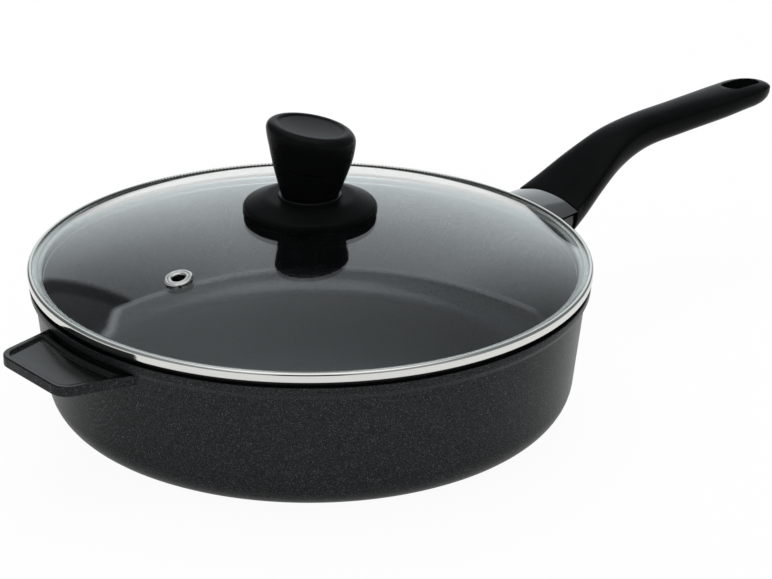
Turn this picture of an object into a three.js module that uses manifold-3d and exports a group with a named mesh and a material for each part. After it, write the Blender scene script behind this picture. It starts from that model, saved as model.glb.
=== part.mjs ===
// Deep frying pan with a lift-off glass lid: cast pan with helper handle, long grip, slanted lid knob.
// Millimetres, +Z up. The origin is the centre of the base, on the surface that the pan stands on.
// The long grip points along +X and the helper handle along -X.

import * as THREE from 'three';
import { mergeVertices } from 'three/addons/utils/BufferGeometryUtils.js';
import Module from 'manifold-3d';

// Fits
const SEAT_GAP = 0.3;           // between a piece and the curved or turned seat it rests on
const BORE_GAP = 0.3;           // around a pin, screw or tongue in its hole

// Pan
const RIM_R = 143.2;            // outer radius of the thickened rim
const PAN_HEIGHT = 72.3;        // base to top of rim
const RIM_FACE = 6.2;           // height of the rim's outer face
const RIM_LEAN = 0.4;           // how much the face leans in at its foot
const RIM_UNDERCUT = 3;         // height of the slope from the face back to the wall
const RIM_STAND_OUT = 2.8;      // how far the rim stands out from the wall
const RIM_ROUND = 2.6;
const WALL_DRAFT = 5.8;         // degrees off upright
const WALL = 3.6;
const FLOOR = 5.4;
const BASE_CORNER_R = 19;
const FLOOR_CORNER_R = 16;
const PLATE_R = 95;             // steel disc in the underside
const PLATE = 1.2;

// Helper handle, cast with the pan
const HELPER_OUT = 28.5;        // outer edge beyond the rim
const HELPER_DROP = 8.5;        // top face below the rim
const HELPER = 5.4;             // thickness
const HELPER_ROOT_HALF = 36.6;  // half width at the inside of the wall
const HELPER_TIP_HALF = 26.9;   // half width at the outer edge, before its corners are rounded
const HELPER_CORNER_R = 10;
const TRAY_RIM = 2.9;           // raised edge round the thumb tray
const TRAY_DEPTH = 1.5;
const RIB_OFF = 3.6;            // groove between the wall and the curved rib
const RIB = 2.8;                // width of the curved rib
const RIB_HALF = 29.5;          // half length of the groove behind the rib
const GROOVE_DEPTH = 2.2;

// Grip: a front face at the flame guard, a climb, then a level run to the tail
const GUARD_REACH = 27;         // from the rim to the grip's front face
const GRIP_LENGTH = 177.2;
const GRIP_DROP = 4.9;          // side crease at the front, below the rim
const CLIMB_RUN = 88;
const CLIMB_RISE = 29.1;
const CLIMB_ANGLE = 24;         // degrees, at the front face
const CLIMB_HOLD = 0.35;        // share of the run that keeps the front angle
const CLIMB_SWING = 0.48;       // share of the run where the level line takes over
const FRONT_HALF = 22.9;        // half widths along the grip
const WAIST_HALF = 11.6;
const TAIL_HALF = 13.4;
const WAIST_AT = 72;            // from the front face
const FRONT_DEPTH = 22.2;       // below the side crease
const WAIST_DEPTH = 13.4;
const TAIL_DEPTH = 7.6;
const FRONT_CROWN = 4.4;        // above the side crease
const TAIL_CROWN = 7.2;
const TAIL_FLAT = 4;            // how much of that crown becomes side, for a flat top round the hole
const CROWN_POWER = 2.2;
const BELLY_POWER = 2.4;
const TAPER_POWER = 1.3;        // how soon the widths settle
const TAIL_POWER = 0.7;         // how full the rounded tail is
const TAIL_ROUND = 15;          // length of the rounded tail
const HOLE_LENGTH = 26;         // hanging hole
const HOLE_WIDTH = 13;
const HOLE_IN = 21.2;           // hole centre to the tail
const HOLE_FLARE = 1.6;

// Flame guard: sleeve between the wall and the grip
const GUARD_INSET = 1.9;        // side panels behind the grip's sides
const GUARD_DROP = 2;           // how much its top plate falls towards the pan
const GUARD_FLARE = 2.4;        // how much wider it is at the pan
const GUARD_LIP = 1.2;          // edge of the top plate
const GUARD_GROOVE = 1.3;       // groove under that edge
const GUARD_GROOVE_IN = 1.6;
const GUARD_SHORT = 1.5;        // underside above the grip's underside

// Lug and tang, cast with the pan, and the screw that holds the grip
const LUG_WIDTH = 23;
const LUG_HEIGHT = 12;
const LUG_DROP = 15;            // lug's middle below the rim
const TANG_RISE = 31;           // degrees
const TANG_UP = 1.8;            // tang's middle above the lug's, at the grip's front face
const TANG_WIDTH = 18;
const TANG = 6;
const TANG_ROOT = 5;            // length inside the lug
const TANG_REACH = 38;          // length inside the grip
const SCREW_AT = 27;            // screw's place along the tang
const SCREW_R = 2.2;
const SCREW_HEAD_R = 4.5;
const SCREW_HEAD = 2.6;
const SCREW_WALL = 2.4;         // grip material between the tang and the washer
const SPRING_R = 4.4;
const SPRING = 1.1;
const SPRING_SLIT = 1.2;

// Lid
const BAND_OVERHANG = 0.8;      // band outside the rim
const BAND = 0.6;               // sheet
const BAND_BEND = 1.4;          // outer radius of its bends
const BAND_LIP = 4.3;           // width of its upper edge over the glass
const BAND_FLANGE = 8.8;        // width of its lower edge under the glass
const BAND_SKIRT = 4.4;         // turned-down inner edge, which centres the lid in the rim
const GLASS = 3.5;
const GLASS_FLAT = 5.6;         // width of the flat rim, from the band's outside
const GLASS_FILLET = 4;         // between the flat rim and the dome
const DOME_RISE = 26.1;         // apex above the flat rim
const KNOB_BORE_R = 4.6;        // hole in the glass

// Steam vent
const VENT_R = 91.3;            // from the lid's axis
const VENT_TURN = 186.6;        // degrees from +X
const VENT_BORE_R = 4.6;        // hole in the glass
const EYELET_R = 4.2;           // barrel
const EYELET = 0.6;             // sheet
const EYELET_ROLL_R = 6.6;
const EYELET_ROLL = 1.8;
const VENT_WASHER_R = 6.3;
const VENT_WASHER = 1;

// Knob
const KNOB_TURN = -34.3;        // degrees from +X, side to which the top falls
const KNOB_SLOPE = 10;          // degrees
const KNOB_LEAN = 0.6;          // shift of the top towards that side
const SKIRT_R = 34.1;
const SKIRT_EDGE = 4.3;         // height of the skirt's edge
const SKIRT_ROUND = 2.6;
const SKIRT_TOP = 8.3;          // collar above the glass
const SKIRT_WALL = 2.4;
const COLLAR_R = 15.2;
const COLLAR = 1.2;             // height of the collar
const HUB_R = 11;               // hub inside the skirt
const KNOB_FOOT_R = 14.6;
const KNOB_RIM_R = 22.9;
const KNOB_HEIGHT = 35.8;       // collar to the rim's top, in the middle
const KNOB_FLANK = 31.2;          // collar to the end of the flank
const FLANK_PULL_R = 22.5;      // bends the flank outwards
const FLANK_PULL_H = 22.5;
const SEAM_AT = 0.4;            // share of the flank below the seam
const SEAM_GAP = 0.4;
const KNOB_ROUND = 4.4;         // rounded rim
const DISH_R = 18.1;
const DISH_EDGE = 0.9;          // dish edge below the rim's top
const DISH_DEPTH = 1.4;
const SPIGOT_R = 10;            // tongue between stem and cap
const SPIGOT = 7;
const INSERT_R = 4;
const INSERT_LENGTH = 11;
const KNOB_SCREW_R = 2.4;
const KNOB_SCREW_HEAD_R = 5;
const KNOB_SCREW_HEAD = 3;
const KNOB_SCREW_GRIP = 9;      // length inside the insert
const GASKET_R = 11;
const GASKET = 1.5;
const WASHER_R = 12;
const WASHER = 1;

// Roundness of the turned pieces
const LARGE_FACETS = 64;
const KNOB_FACETS = 36;
const SMALL_FACETS = 20;

const deg = Math.PI / 180;
const lerp = THREE.MathUtils.lerp;
const wasm = await Module();
wasm.setup();

function solid(geometry) {
  const bare = geometry.clone();
  bare.deleteAttribute('normal');
  bare.deleteAttribute('uv');
  const merged = mergeVertices(bare, 1e-4);
  const corners = merged.index.array;
  const kept = [];
  for (let i = 0; i < corners.length; i += 3) {
    const [a, b, c] = [corners[i], corners[i + 1], corners[i + 2]];
    if (a !== b && b !== c && c !== a) kept.push(a, b, c);
  }
  return new wasm.Manifold(new wasm.Mesh({
    numProp: 3,
    vertProperties: Float32Array.from(merged.attributes.position.array),
    triVerts: Uint32Array.from(kept),
  }));
}

function skin(body) {
  const mesh = body.getMesh();
  const geometry = new THREE.BufferGeometry();
  geometry.setAttribute('position', new THREE.BufferAttribute(mesh.vertProperties, 3));
  geometry.setIndex(new THREE.BufferAttribute(mesh.triVerts, 1));
  geometry.computeVertexNormals();
  return geometry;
}

// Section of [radius, height] points, anticlockwise, turned about Z
function turned(section, facets) {
  const points = section.map(([r, z]) => new THREE.Vector2(r, z));
  return new THREE.LatheGeometry(points, facets).rotateX(Math.PI / 2);
}

function turnedRing(section, facets) {
  return turned([...section, section[0]], facets);
}

function arc(r, z, radius, from, to, steps) {
  return Array.from({ length: steps + 1 }, (_, i) => {
    const angle = lerp(from, to, i / steps) * deg;
    return [r + radius * Math.cos(angle), z + radius * Math.sin(angle)];
  });
}

function disc(radius, low, high, facets) {
  return turned([[0, low], [radius, low], [radius, high], [0, high]], facets);
}

function flatRing(inner, outer, low, high, facets) {
  return turnedRing([[inner, low], [outer, low], [outer, high], [inner, high]], facets);
}

// Skin through rings of points, closed by a flat face at each end
function loft(rings) {
  const count = rings[0].length;
  const faces = [];
  for (let i = 0; i + 1 < rings.length; i++) {
    for (let j = 0; j < count; j++) {
      const a = i * count + j;
      const b = i * count + (j + 1) % count;
      faces.push(a, b, b + count, a, b + count, a + count);
    }
  }
  const middle = (ring) => ring.reduce((sum, p) => sum.add(p), new THREE.Vector3()).divideScalar(count);
  const axis = middle(rings.at(-1)).sub(middle(rings[0]));
  const lying = Math.abs(axis.x) > Math.abs(axis.z);
  const flat = (p) => (lying ? new THREE.Vector2(p.y, p.z) : new THREE.Vector2(p.x, p.y));
  const turn = Math.sign(THREE.ShapeUtils.area(rings[0].map(flat)));
  const last = rings.length - 1;
  for (const [i, side] of [[0, -turn], [last, turn]]) {
    const outline = rings[i].map(flat);
    const first = i * count;
    for (const [a, b, c] of THREE.ShapeUtils.triangulateShape(outline, [])) {
      const same = THREE.ShapeUtils.area([outline[a], outline[b], outline[c]]) * side > 0;
      faces.push(first + a, first + (same ? b : c), first + (same ? c : b));
    }
  }
  const geometry = new THREE.BufferGeometry();
  const points = rings.flat().flatMap((p) => p.toArray());
  geometry.setAttribute('position', new THREE.Float32BufferAttribute(points, 3));
  geometry.setIndex(faces);
  return geometry;
}

// Flat outline from [x, y, corner radius] points, anticlockwise
function outline(corners) {
  const shape = new THREE.Shape();
  corners.forEach(([x, y, radius], i) => {
    const here = new THREE.Vector2(x, y);
    const [before, after] = [-1, 1].map((step) => {
      const [u, v] = corners.at((i + step) % corners.length);
      return new THREE.Vector2(u - x, v - y).normalize();
    });
    const half = Math.acos(before.dot(after)) / 2;
    const start = here.clone().addScaledVector(before, radius / Math.tan(half));
    if (i === 0) shape.moveTo(start.x, start.y);
    else shape.lineTo(start.x, start.y);
    if (radius === 0) return;
    const inward = before.clone().add(after).normalize();
    const centre = here.clone().addScaledVector(inward, radius / Math.sin(half));
    const end = here.clone().addScaledVector(after, radius / Math.tan(half));
    shape.absarc(centre.x, centre.y, radius, start.sub(centre).angle(), end.sub(centre).angle());
  });
  return shape;
}

function slab(shape, low, high) {
  const rise = { depth: high - low, bevelEnabled: false, curveSegments: 6 };
  return new THREE.ExtrudeGeometry(shape, rise).translate(0, 0, low);
}

// Pan shell
const wallTopZ = PAN_HEIGHT - RIM_FACE - RIM_UNDERCUT;
const wallR = (z) => RIM_R - RIM_STAND_OUT + (z - wallTopZ) * Math.tan(WALL_DRAFT * deg);
const innerR = (z) => wallR(z) - WALL / Math.cos(WALL_DRAFT * deg);

function corner(lineR, floorZ, radius, steps) {
  const z = floorZ + radius;
  return arc(lineR(z) - radius / Math.cos(WALL_DRAFT * deg), z, radius, -90, -WALL_DRAFT, steps);
}

function panOutside(growth) {
  return turned([
    [0, 0],
    ...corner((z) => wallR(z) + growth, 0, BASE_CORNER_R, 6),
    [wallR(wallTopZ) + growth, wallTopZ],
    [RIM_R - RIM_LEAN + growth, wallTopZ + RIM_UNDERCUT],
    ...arc(RIM_R - RIM_ROUND + growth, PAN_HEIGHT - RIM_ROUND, RIM_ROUND, 0, 90, 3),
    [0, PAN_HEIGHT],
  ], LARGE_FACETS);
}

const panInside = turned([
  [0, FLOOR],
  ...corner(innerR, FLOOR, FLOOR_CORNER_R, 5),
  [innerR(PAN_HEIGHT - RIM_ROUND), PAN_HEIGHT - RIM_ROUND],
  [innerR(PAN_HEIGHT) + RIM_ROUND / 2, PAN_HEIGHT],
  [innerR(PAN_HEIGHT) + RIM_ROUND / 2, PAN_HEIGHT + 1],
  [0, PAN_HEIGHT + 1],
], LARGE_FACETS);

// Helper handle: tapered plate with a sunk thumb tray, a curved rib and a groove along the wall
const helperTop = PAN_HEIGHT - HELPER_DROP;
const helperRootX = Math.sqrt(innerR(helperTop) ** 2 - HELPER_ROOT_HALF ** 2);
const helperTipX = RIM_R + HELPER_OUT;
const ribR = wallR(helperTop) + RIB_OFF;

function helperOutline(inset) {
  const rootHalf = HELPER_ROOT_HALF - inset;
  const tipHalf = HELPER_TIP_HALF - inset;
  const tipX = inset - helperTipX;
  const tipR = HELPER_CORNER_R - inset;
  return outline([
    [-helperRootX, -rootHalf, 0], [-helperRootX, rootHalf, 0], [tipX, tipHalf, tipR], [tipX, -tipHalf, tipR],
  ]);
}

const tray = solid(slab(helperOutline(TRAY_RIM), helperTop - TRAY_DEPTH, helperTop + 1))
  .subtract(solid(disc(ribR + RIB, 0, PAN_HEIGHT, LARGE_FACETS)));
const ribGroove = solid(disc(ribR, helperTop - GROOVE_DEPTH, helperTop + 1, LARGE_FACETS))
  .intersect(solid(new THREE.BoxGeometry(2 * RIM_R, 2 * RIB_HALF, 4 * PAN_HEIGHT).translate(-RIM_R, 0, 0)));
const helper = solid(slab(helperOutline(0), helperTop - HELPER, helperTop))
  .subtract(tray)
  .subtract(ribGroove);

// Lug out of the wall and tang up into the grip
const gripX = RIM_R + GUARD_REACH;
const lugZ = PAN_HEIGHT - LUG_DROP;
const lugBackX = wallR(lugZ) - WALL / 2;

function lug(growth, endX) {
  return new THREE.BoxGeometry(endX - lugBackX, LUG_WIDTH + 2 * growth, LUG_HEIGHT + 2 * growth)
    .translate((endX + lugBackX) / 2, 0, lugZ);
}

function tang(growth) {
  const length = TANG_ROOT + TANG_REACH + 2 * growth;
  return new THREE.BoxGeometry(length, TANG_WIDTH + 2 * growth, TANG + 2 * growth)
    .translate((TANG_REACH - TANG_ROOT) / 2, 0, 0).applyMatrix4(tangPlace);
}

const tangTurn = new THREE.Matrix4().makeRotationY(-TANG_RISE * deg);
const tangStart = new THREE.Vector3(gripX, 0, lugZ + TANG_UP);
const tangPlace = tangTurn.clone().setPosition(tangStart);
const screwPlace = new THREE.Vector3(SCREW_AT, 0, 0).applyMatrix4(tangPlace);
const screwMatrix = tangTurn.clone().setPosition(screwPlace);

function screwBore(radius, low, high) {
  return solid(disc(radius, low, high, SMALL_FACETS).applyMatrix4(screwMatrix));
}

const panBody = solid(panOutside(0)).add(helper).add(solid(lug(0, gripX - SEAT_GAP))).add(solid(tang(0)))
  .subtract(solid(panInside))
  .subtract(solid(disc(PLATE_R + BORE_GAP, -1, PLATE, LARGE_FACETS)))
  .subtract(screwBore(SCREW_R + BORE_GAP, -TANG, TANG));

// Grip
const creaseZ = PAN_HEIGHT - GRIP_DROP;
const climb = new THREE.CubicBezierCurve(
  new THREE.Vector2(0, creaseZ),
  new THREE.Vector2(CLIMB_RUN * CLIMB_HOLD, creaseZ + CLIMB_RUN * CLIMB_HOLD * Math.tan(CLIMB_ANGLE * deg)),
  new THREE.Vector2(CLIMB_RUN * CLIMB_SWING, creaseZ + CLIMB_RISE),
  new THREE.Vector2(CLIMB_RUN, creaseZ + CLIMB_RISE),
);
const tailX = GRIP_LENGTH - TAIL_ROUND;

// Cross-section of grip and guard: arched top, side details, rounded belly
function section(x, crease, topHalf, crown, bellyHalf, depth, edge) {
  const steps = 10;
  const left = edge.map(([inset, drop]) => new THREE.Vector3(x, inset - bellyHalf, crease - drop));
  const right = left.map((p) => new THREE.Vector3(x, -p.y, p.z)).reverse();
  const bellyTop = edge.length ? edge.at(-1)[1] : 0;
  const ring = [];
  for (let i = 0; i <= steps; i++) {
    const y = Math.cos(Math.PI * i / steps);
    ring.push(new THREE.Vector3(x, topHalf * y, crease + crown * (1 - Math.abs(y) ** CROWN_POWER)));
  }
  ring.push(...left);
  for (let i = 1; i < steps; i++) {
    const angle = Math.PI * i / steps;
    const y = Math.sign(Math.cos(angle)) * Math.abs(Math.cos(angle)) ** (2 / BELLY_POWER);
    const fall = Math.sin(angle) ** (2 / BELLY_POWER);
    ring.push(new THREE.Vector3(x, -bellyHalf * y, crease - bellyTop - (depth - bellyTop) * fall));
  }
  ring.push(...right);
  return ring;
}

function alongGrip(x, front, waist, tail, ease) {
  if (x < WAIST_AT) return lerp(front, waist, ease(x / WAIST_AT));
  return lerp(waist, tail, ease(Math.min(1, (x - WAIST_AT) / (tailX - WAIST_AT))));
}

function gripRing(x, z, shrink) {
  const level = Math.max(0, Math.min(1, (x - CLIMB_RUN) / (tailX - CLIMB_RUN)));
  const flat = TAIL_FLAT * level ** TAPER_POWER;
  const half = alongGrip(x, FRONT_HALF, WAIST_HALF, TAIL_HALF, (t) => 1 - (1 - t) ** TAPER_POWER) * shrink;
  const fullness = shrink ** TAIL_POWER;
  const depth = alongGrip(x, FRONT_DEPTH, WAIST_DEPTH, TAIL_DEPTH, (t) => t) + flat;
  const crown = lerp(FRONT_CROWN, TAIL_CROWN, x / GRIP_LENGTH) - flat;
  return section(gripX + x, z + flat * fullness, half, crown * fullness, half, depth * fullness, []);
}

const gripRings = climb.getPoints(9).map((p) => gripRing(p.x, p.y, 1));
const levelZ = creaseZ + CLIMB_RISE;
for (let i = 1; i <= 5; i++) gripRings.push(gripRing(lerp(CLIMB_RUN, tailX, i / 5), levelZ, 1));
for (let i = 1; i <= 5; i++) {
  const angle = Math.PI / 2 * Math.min(i / 5, 0.97);
  gripRings.push(gripRing(tailX + TAIL_ROUND * Math.sin(angle), levelZ, Math.cos(angle)));
}

function holeRing(z, growth) {
  const [end, straight] = [HOLE_WIDTH / 2 + growth, (HOLE_LENGTH - HOLE_WIDTH) / 2];
  return Array.from({ length: 24 }, (_, i) => {
    const angle = 2 * Math.PI * (i + 0.5) / 24;
    const x = Math.sign(Math.cos(angle)) * straight + end * Math.cos(angle);
    return new THREE.Vector3(gripX + GRIP_LENGTH - HOLE_IN + x, end * Math.sin(angle), z);
  });
}

const holeTop = levelZ + TAIL_CROWN;
const holeFoot = levelZ - TAIL_DEPTH;
const hangingHole = loft([
  holeRing(holeFoot - 2 * HOLE_FLARE, 2 * HOLE_FLARE), holeRing(holeFoot, HOLE_FLARE / 2),
  holeRing(holeFoot + HOLE_FLARE, 0), holeRing(holeTop - 2 * HOLE_FLARE, 0),
  holeRing(holeTop - HOLE_FLARE / 2, HOLE_FLARE / 2), holeRing(holeTop + HOLE_FLARE, 2 * HOLE_FLARE),
]);

const washerTop = -TANG / 2 - SCREW_WALL;
const headTop = washerTop - SPRING;
const grip = solid(loft(gripRings))
  .subtract(solid(tang(BORE_GAP)))
  .subtract(screwBore(SCREW_R + BORE_GAP, washerTop - 1, 0))
  .subtract(screwBore(SCREW_HEAD_R + 2 * BORE_GAP, -FRONT_DEPTH - TANG, washerTop))
  .subtract(solid(hangingHole));

const handleScrew = turned([
  [0, headTop - SCREW_HEAD],
  [SCREW_HEAD_R * 0.6, headTop - SCREW_HEAD],
  [SCREW_HEAD_R, headTop - SCREW_HEAD * 0.45],
  [SCREW_HEAD_R, headTop],
  [SCREW_R, headTop],
  [SCREW_R, TANG / 2],
  [0, TANG / 2],
], SMALL_FACETS);

const slit = new THREE.BoxGeometry(2 * SPRING_R, SPRING_SLIT, 4 * SPRING).translate(SPRING_R, 0, washerTop);
const springRing = flatRing(SCREW_R + BORE_GAP, SPRING_R, headTop, washerTop, SMALL_FACETS);
const handleWasher = solid(springRing).subtract(solid(slit));

// Flame guard
function guardRing(x, share) {
  const half = FRONT_HALF + GUARD_FLARE * share;
  const crease = creaseZ - GUARD_DROP * share;
  const panel = half - GUARD_INSET;
  const under = GUARD_LIP + GUARD_GROOVE;
  return section(x, crease, half, FRONT_CROWN, panel, FRONT_DEPTH - GUARD_SHORT - GUARD_DROP * share, [
    [panel - half, GUARD_LIP], [GUARD_GROOVE_IN, GUARD_LIP], [GUARD_GROOVE_IN, under], [0, under],
  ]);
}

const guardX = wallR(0) - WALL;
const guard = solid(loft([guardRing(guardX, 1), guardRing(gripX - SEAT_GAP, 0)]))
  .subtract(solid(lug(BORE_GAP, gripX)))
  .subtract(solid(panOutside(SEAT_GAP)));

// Lid glass and band, measured from the band's underside
const bandR = RIM_R + BAND_OVERHANG;
const bandHeight = GLASS + 2 * (BAND + SEAT_GAP);
const glassR = bandR - BAND - 3 * SEAT_GAP;
const glassTop = bandHeight - BAND - SEAT_GAP;
const glassTurnR = bandR - GLASS_FLAT;
const domeDrop = GLASS_FILLET - DOME_RISE;
const domeR = (glassTurnR ** 2 + domeDrop ** 2 - GLASS_FILLET ** 2) / (2 * DOME_RISE);
const apex = glassTop + DOME_RISE;
const domeEnd = Math.asin(glassTurnR / (domeR + GLASS_FILLET)) / deg;
const domeZ = (r, radius) => apex - domeR + Math.sqrt(radius ** 2 - r ** 2);

function domeArc(radius, filletRadius) {
  const start = 90 - Math.asin(KNOB_BORE_R / radius) / deg;
  return [
    ...arc(0, apex - domeR, radius, start, 90 - domeEnd, 6),
    ...arc(glassTurnR, glassTop + GLASS_FILLET, filletRadius, 270 - domeEnd, 270, 3).slice(1),
  ];
}

const edgeR = GLASS / 3;
const lidGlassRing = turnedRing([
  ...domeArc(domeR - GLASS, GLASS_FILLET + GLASS),
  ...arc(glassR - edgeR, glassTop - GLASS + edgeR, edgeR, -90, 0, 2),
  ...arc(glassR - edgeR, glassTop - edgeR, edgeR, 0, 90, 2),
  ...domeArc(domeR, GLASS_FILLET).reverse(),
], LARGE_FACETS);

const bandBends = (radius) => [
  ...arc(bandR - BAND_BEND, BAND_BEND, radius, -90, 0, 2),
  ...arc(bandR - BAND_BEND, bandHeight - BAND_BEND, radius, 0, 90, 2),
];
const lidBand = turnedRing([
  [bandR - BAND_FLANGE, -BAND_SKIRT],
  [bandR - BAND_FLANGE + BAND, -BAND_SKIRT],
  [bandR - BAND_FLANGE + BAND, 0],
  ...bandBends(BAND_BEND),
  [bandR - BAND_LIP, bandHeight],
  [bandR - BAND_LIP, bandHeight - BAND],
  ...bandBends(BAND_BEND - BAND).reverse(),
  [bandR - BAND_FLANGE, BAND],
], LARGE_FACETS);

// Steam vent, measured from the glass, along its slope
const ventTilt = Math.asin(VENT_R / domeR);
const ventMatrix = new THREE.Matrix4().makeRotationZ(VENT_TURN * deg)
  .multiply(new THREE.Matrix4().makeTranslation(VENT_R, 0, domeZ(VENT_R, domeR)))
  .multiply(new THREE.Matrix4().makeRotationY(ventTilt));
const lidGlass = solid(lidGlassRing)
  .subtract(solid(disc(VENT_BORE_R, -2 * GLASS, GLASS, SMALL_FACETS).applyMatrix4(ventMatrix)));

const rollZ = SEAT_GAP + VENT_WASHER + SEAT_GAP;
const flareZ = -GLASS - SEAT_GAP;
const ventEyelet = turnedRing([
  [EYELET_R - EYELET, flareZ - EYELET],
  [EYELET_ROLL_R, flareZ - EYELET],
  [EYELET_ROLL_R, flareZ],
  [EYELET_R, flareZ],
  [EYELET_R, rollZ],
  [EYELET_ROLL_R - EYELET_ROLL / 2, rollZ],
  ...arc(EYELET_ROLL_R - EYELET_ROLL / 2, rollZ + EYELET_ROLL / 2, EYELET_ROLL / 2, -45, 90, 3),
  [EYELET_R, rollZ + EYELET_ROLL],
  [EYELET_R - EYELET, rollZ + EYELET_ROLL / 2],
], SMALL_FACETS);
const ventWasher = flatRing(
  EYELET_R + BORE_GAP, VENT_WASHER_R, SEAT_GAP, SEAT_GAP + VENT_WASHER, SMALL_FACETS,
);

// Knob, measured from the top of the dome
const hubZ = SEAT_GAP + GASKET;
const skirtFoot = domeZ(SKIRT_R, domeR) - apex + SEAT_GAP;
const shoulderZ = skirtFoot + SKIRT_EDGE;
const collarZ = SKIRT_TOP - COLLAR;
const screwBoreR = KNOB_SCREW_R + BORE_GAP;
const knobSkirt = turnedRing([
  [screwBoreR, hubZ],
  [HUB_R, hubZ],
  [HUB_R, collarZ - SKIRT_WALL],
  [SKIRT_R - SKIRT_WALL - SKIRT_ROUND, shoulderZ - SKIRT_WALL],
  [SKIRT_R - SKIRT_WALL, shoulderZ - SKIRT_WALL - SKIRT_ROUND / 2],
  [SKIRT_R - SKIRT_WALL, skirtFoot],
  [SKIRT_R - SKIRT_ROUND / 3, skirtFoot],
  [SKIRT_R, skirtFoot + SKIRT_ROUND / 3],
  ...arc(SKIRT_R - SKIRT_ROUND, shoulderZ - SKIRT_ROUND, SKIRT_ROUND, 0, 75, 3),
  [lerp(COLLAR_R, SKIRT_R, 0.45), lerp(collarZ, shoulderZ, 0.55)],
  [COLLAR_R + COLLAR, collarZ],
  [COLLAR_R, collarZ + COLLAR / 2],
  [COLLAR_R - COLLAR / 3, SKIRT_TOP],
  [screwBoreR, SKIRT_TOP],
], KNOB_FACETS);

// Stem and cap: rings that tip towards the low side as they rise
const flank = new THREE.QuadraticBezierCurve(
  new THREE.Vector2(KNOB_FOOT_R, 0),
  new THREE.Vector2(FLANK_PULL_R, FLANK_PULL_H),
  new THREE.Vector2(KNOB_RIM_R, KNOB_FLANK),
);

function knobRing([radius, height]) {
  const share = Math.min(1, Math.max(0, height) / FLANK_PULL_H);
  const tip = KNOB_SLOPE * deg * share;
  return Array.from({ length: KNOB_FACETS }, (_, i) => {
    const angle = 2 * Math.PI * i / KNOB_FACETS;
    const along = radius * Math.cos(angle);
    return new THREE.Vector3(
      KNOB_LEAN * share + along * Math.cos(tip),
      radius * Math.sin(angle),
      SKIRT_TOP + height - along * Math.sin(tip),
    );
  });
}

const flankPart = (from, to, steps) => Array.from({ length: steps + 1 }, (_, i) =>
  flank.getPoint(lerp(from, to, i / steps)).toArray());
const seam = flank.getPoint(SEAM_AT);
const spigotTop = SKIRT_TOP + seam.y + SPIGOT;
const insertTop = SKIRT_TOP + INSERT_LENGTH;
const stemRings = flankPart(0, SEAM_AT, 5).map(knobRing);
const stemTop = stemRings.at(-1);
const knobStem = solid(loft(stemRings))
  .add(solid(disc(SPIGOT_R, SKIRT_TOP + seam.y / 2, spigotTop, KNOB_FACETS)))
  .subtract(solid(disc(INSERT_R + BORE_GAP, SKIRT_TOP - 1, insertTop + SEAT_GAP, SMALL_FACETS)));

const rimZ = KNOB_HEIGHT - KNOB_ROUND;
const dishZ = KNOB_HEIGHT - DISH_EDGE;
const capRings = [
  stemTop.map((p) => p.clone().setZ(p.z + SEAM_GAP)),
  ...flankPart(SEAM_AT + 0.1, 1, 5).map(knobRing),
  ...arc(KNOB_RIM_R - KNOB_ROUND, rimZ, KNOB_ROUND, 0, 90, 4).map(knobRing),
  knobRing([DISH_R, dishZ]),
  knobRing([DISH_R * 0.8, dishZ - DISH_DEPTH * 0.7]),
  knobRing([DISH_R * 0.4, dishZ - DISH_DEPTH]),
];
const knobCap = solid(loft(capRings))
  .subtract(solid(disc(SPIGOT_R + BORE_GAP, SKIRT_TOP, spigotTop + SEAT_GAP, KNOB_FACETS)));

const knobInsert = flatRing(screwBoreR, INSERT_R, SKIRT_TOP, insertTop, SMALL_FACETS);

const glassUnder = domeZ(GASKET_R, domeR - GLASS) - apex - SEAT_GAP;
const washerZ = glassUnder - GASKET;
const knobHeadZ = washerZ - WASHER;
const gasketUpper = flatRing(screwBoreR, GASKET_R, SEAT_GAP, hubZ, SMALL_FACETS);
const gasketLower = turnedRing([
  [screwBoreR, washerZ],
  [GASKET_R, washerZ],
  [GASKET_R, glassUnder],
  [KNOB_BORE_R - BORE_GAP, glassUnder],
  [KNOB_BORE_R - BORE_GAP, 0],
  [screwBoreR, 0],
], SMALL_FACETS);
const knobWasher = flatRing(screwBoreR, WASHER_R, knobHeadZ, washerZ, SMALL_FACETS);
const knobScrew = turned([
  [0, knobHeadZ - KNOB_SCREW_HEAD],
  [KNOB_SCREW_HEAD_R * 0.6, knobHeadZ - KNOB_SCREW_HEAD],
  [KNOB_SCREW_HEAD_R, knobHeadZ - KNOB_SCREW_HEAD * 0.45],
  [KNOB_SCREW_HEAD_R, knobHeadZ],
  [KNOB_SCREW_R, knobHeadZ],
  [KNOB_SCREW_R, SKIRT_TOP + KNOB_SCREW_GRIP],
  [0, SKIRT_TOP + KNOB_SCREW_GRIP],
], SMALL_FACETS);

// Assembly
function piece(name, geometry, color, roughness, metalness, extra = {}) {
  const material = new THREE.MeshStandardMaterial({ color, roughness, metalness, ...extra });
  const mesh = new THREE.Mesh(geometry, material);
  mesh.name = name;
  return mesh;
}

const pan = new THREE.Group();
pan.name = 'pan';
const screwGroup = new THREE.Group();
screwGroup.position.copy(screwPlace);
screwGroup.rotation.y = -TANG_RISE * deg;
screwGroup.add(
  piece('handle_screw', handleScrew, 0xb4b6b8, 0.3, 1),
  piece('handle_washer', skin(handleWasher), 0xa9abad, 0.35, 1),
);
pan.add(
  piece('pan_body', skin(panBody), 0x3b3c40, 0.55, 0.35),
  piece('induction_plate', disc(PLATE_R, 0, PLATE, LARGE_FACETS), 0xb9bbbd, 0.35, 1),
  piece('flame_guard', skin(guard), 0x2c2d30, 0.25, 0.2),
  piece('handle_grip', skin(grip), 0x17181a, 0.6, 0),
  screwGroup,
);

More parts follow.
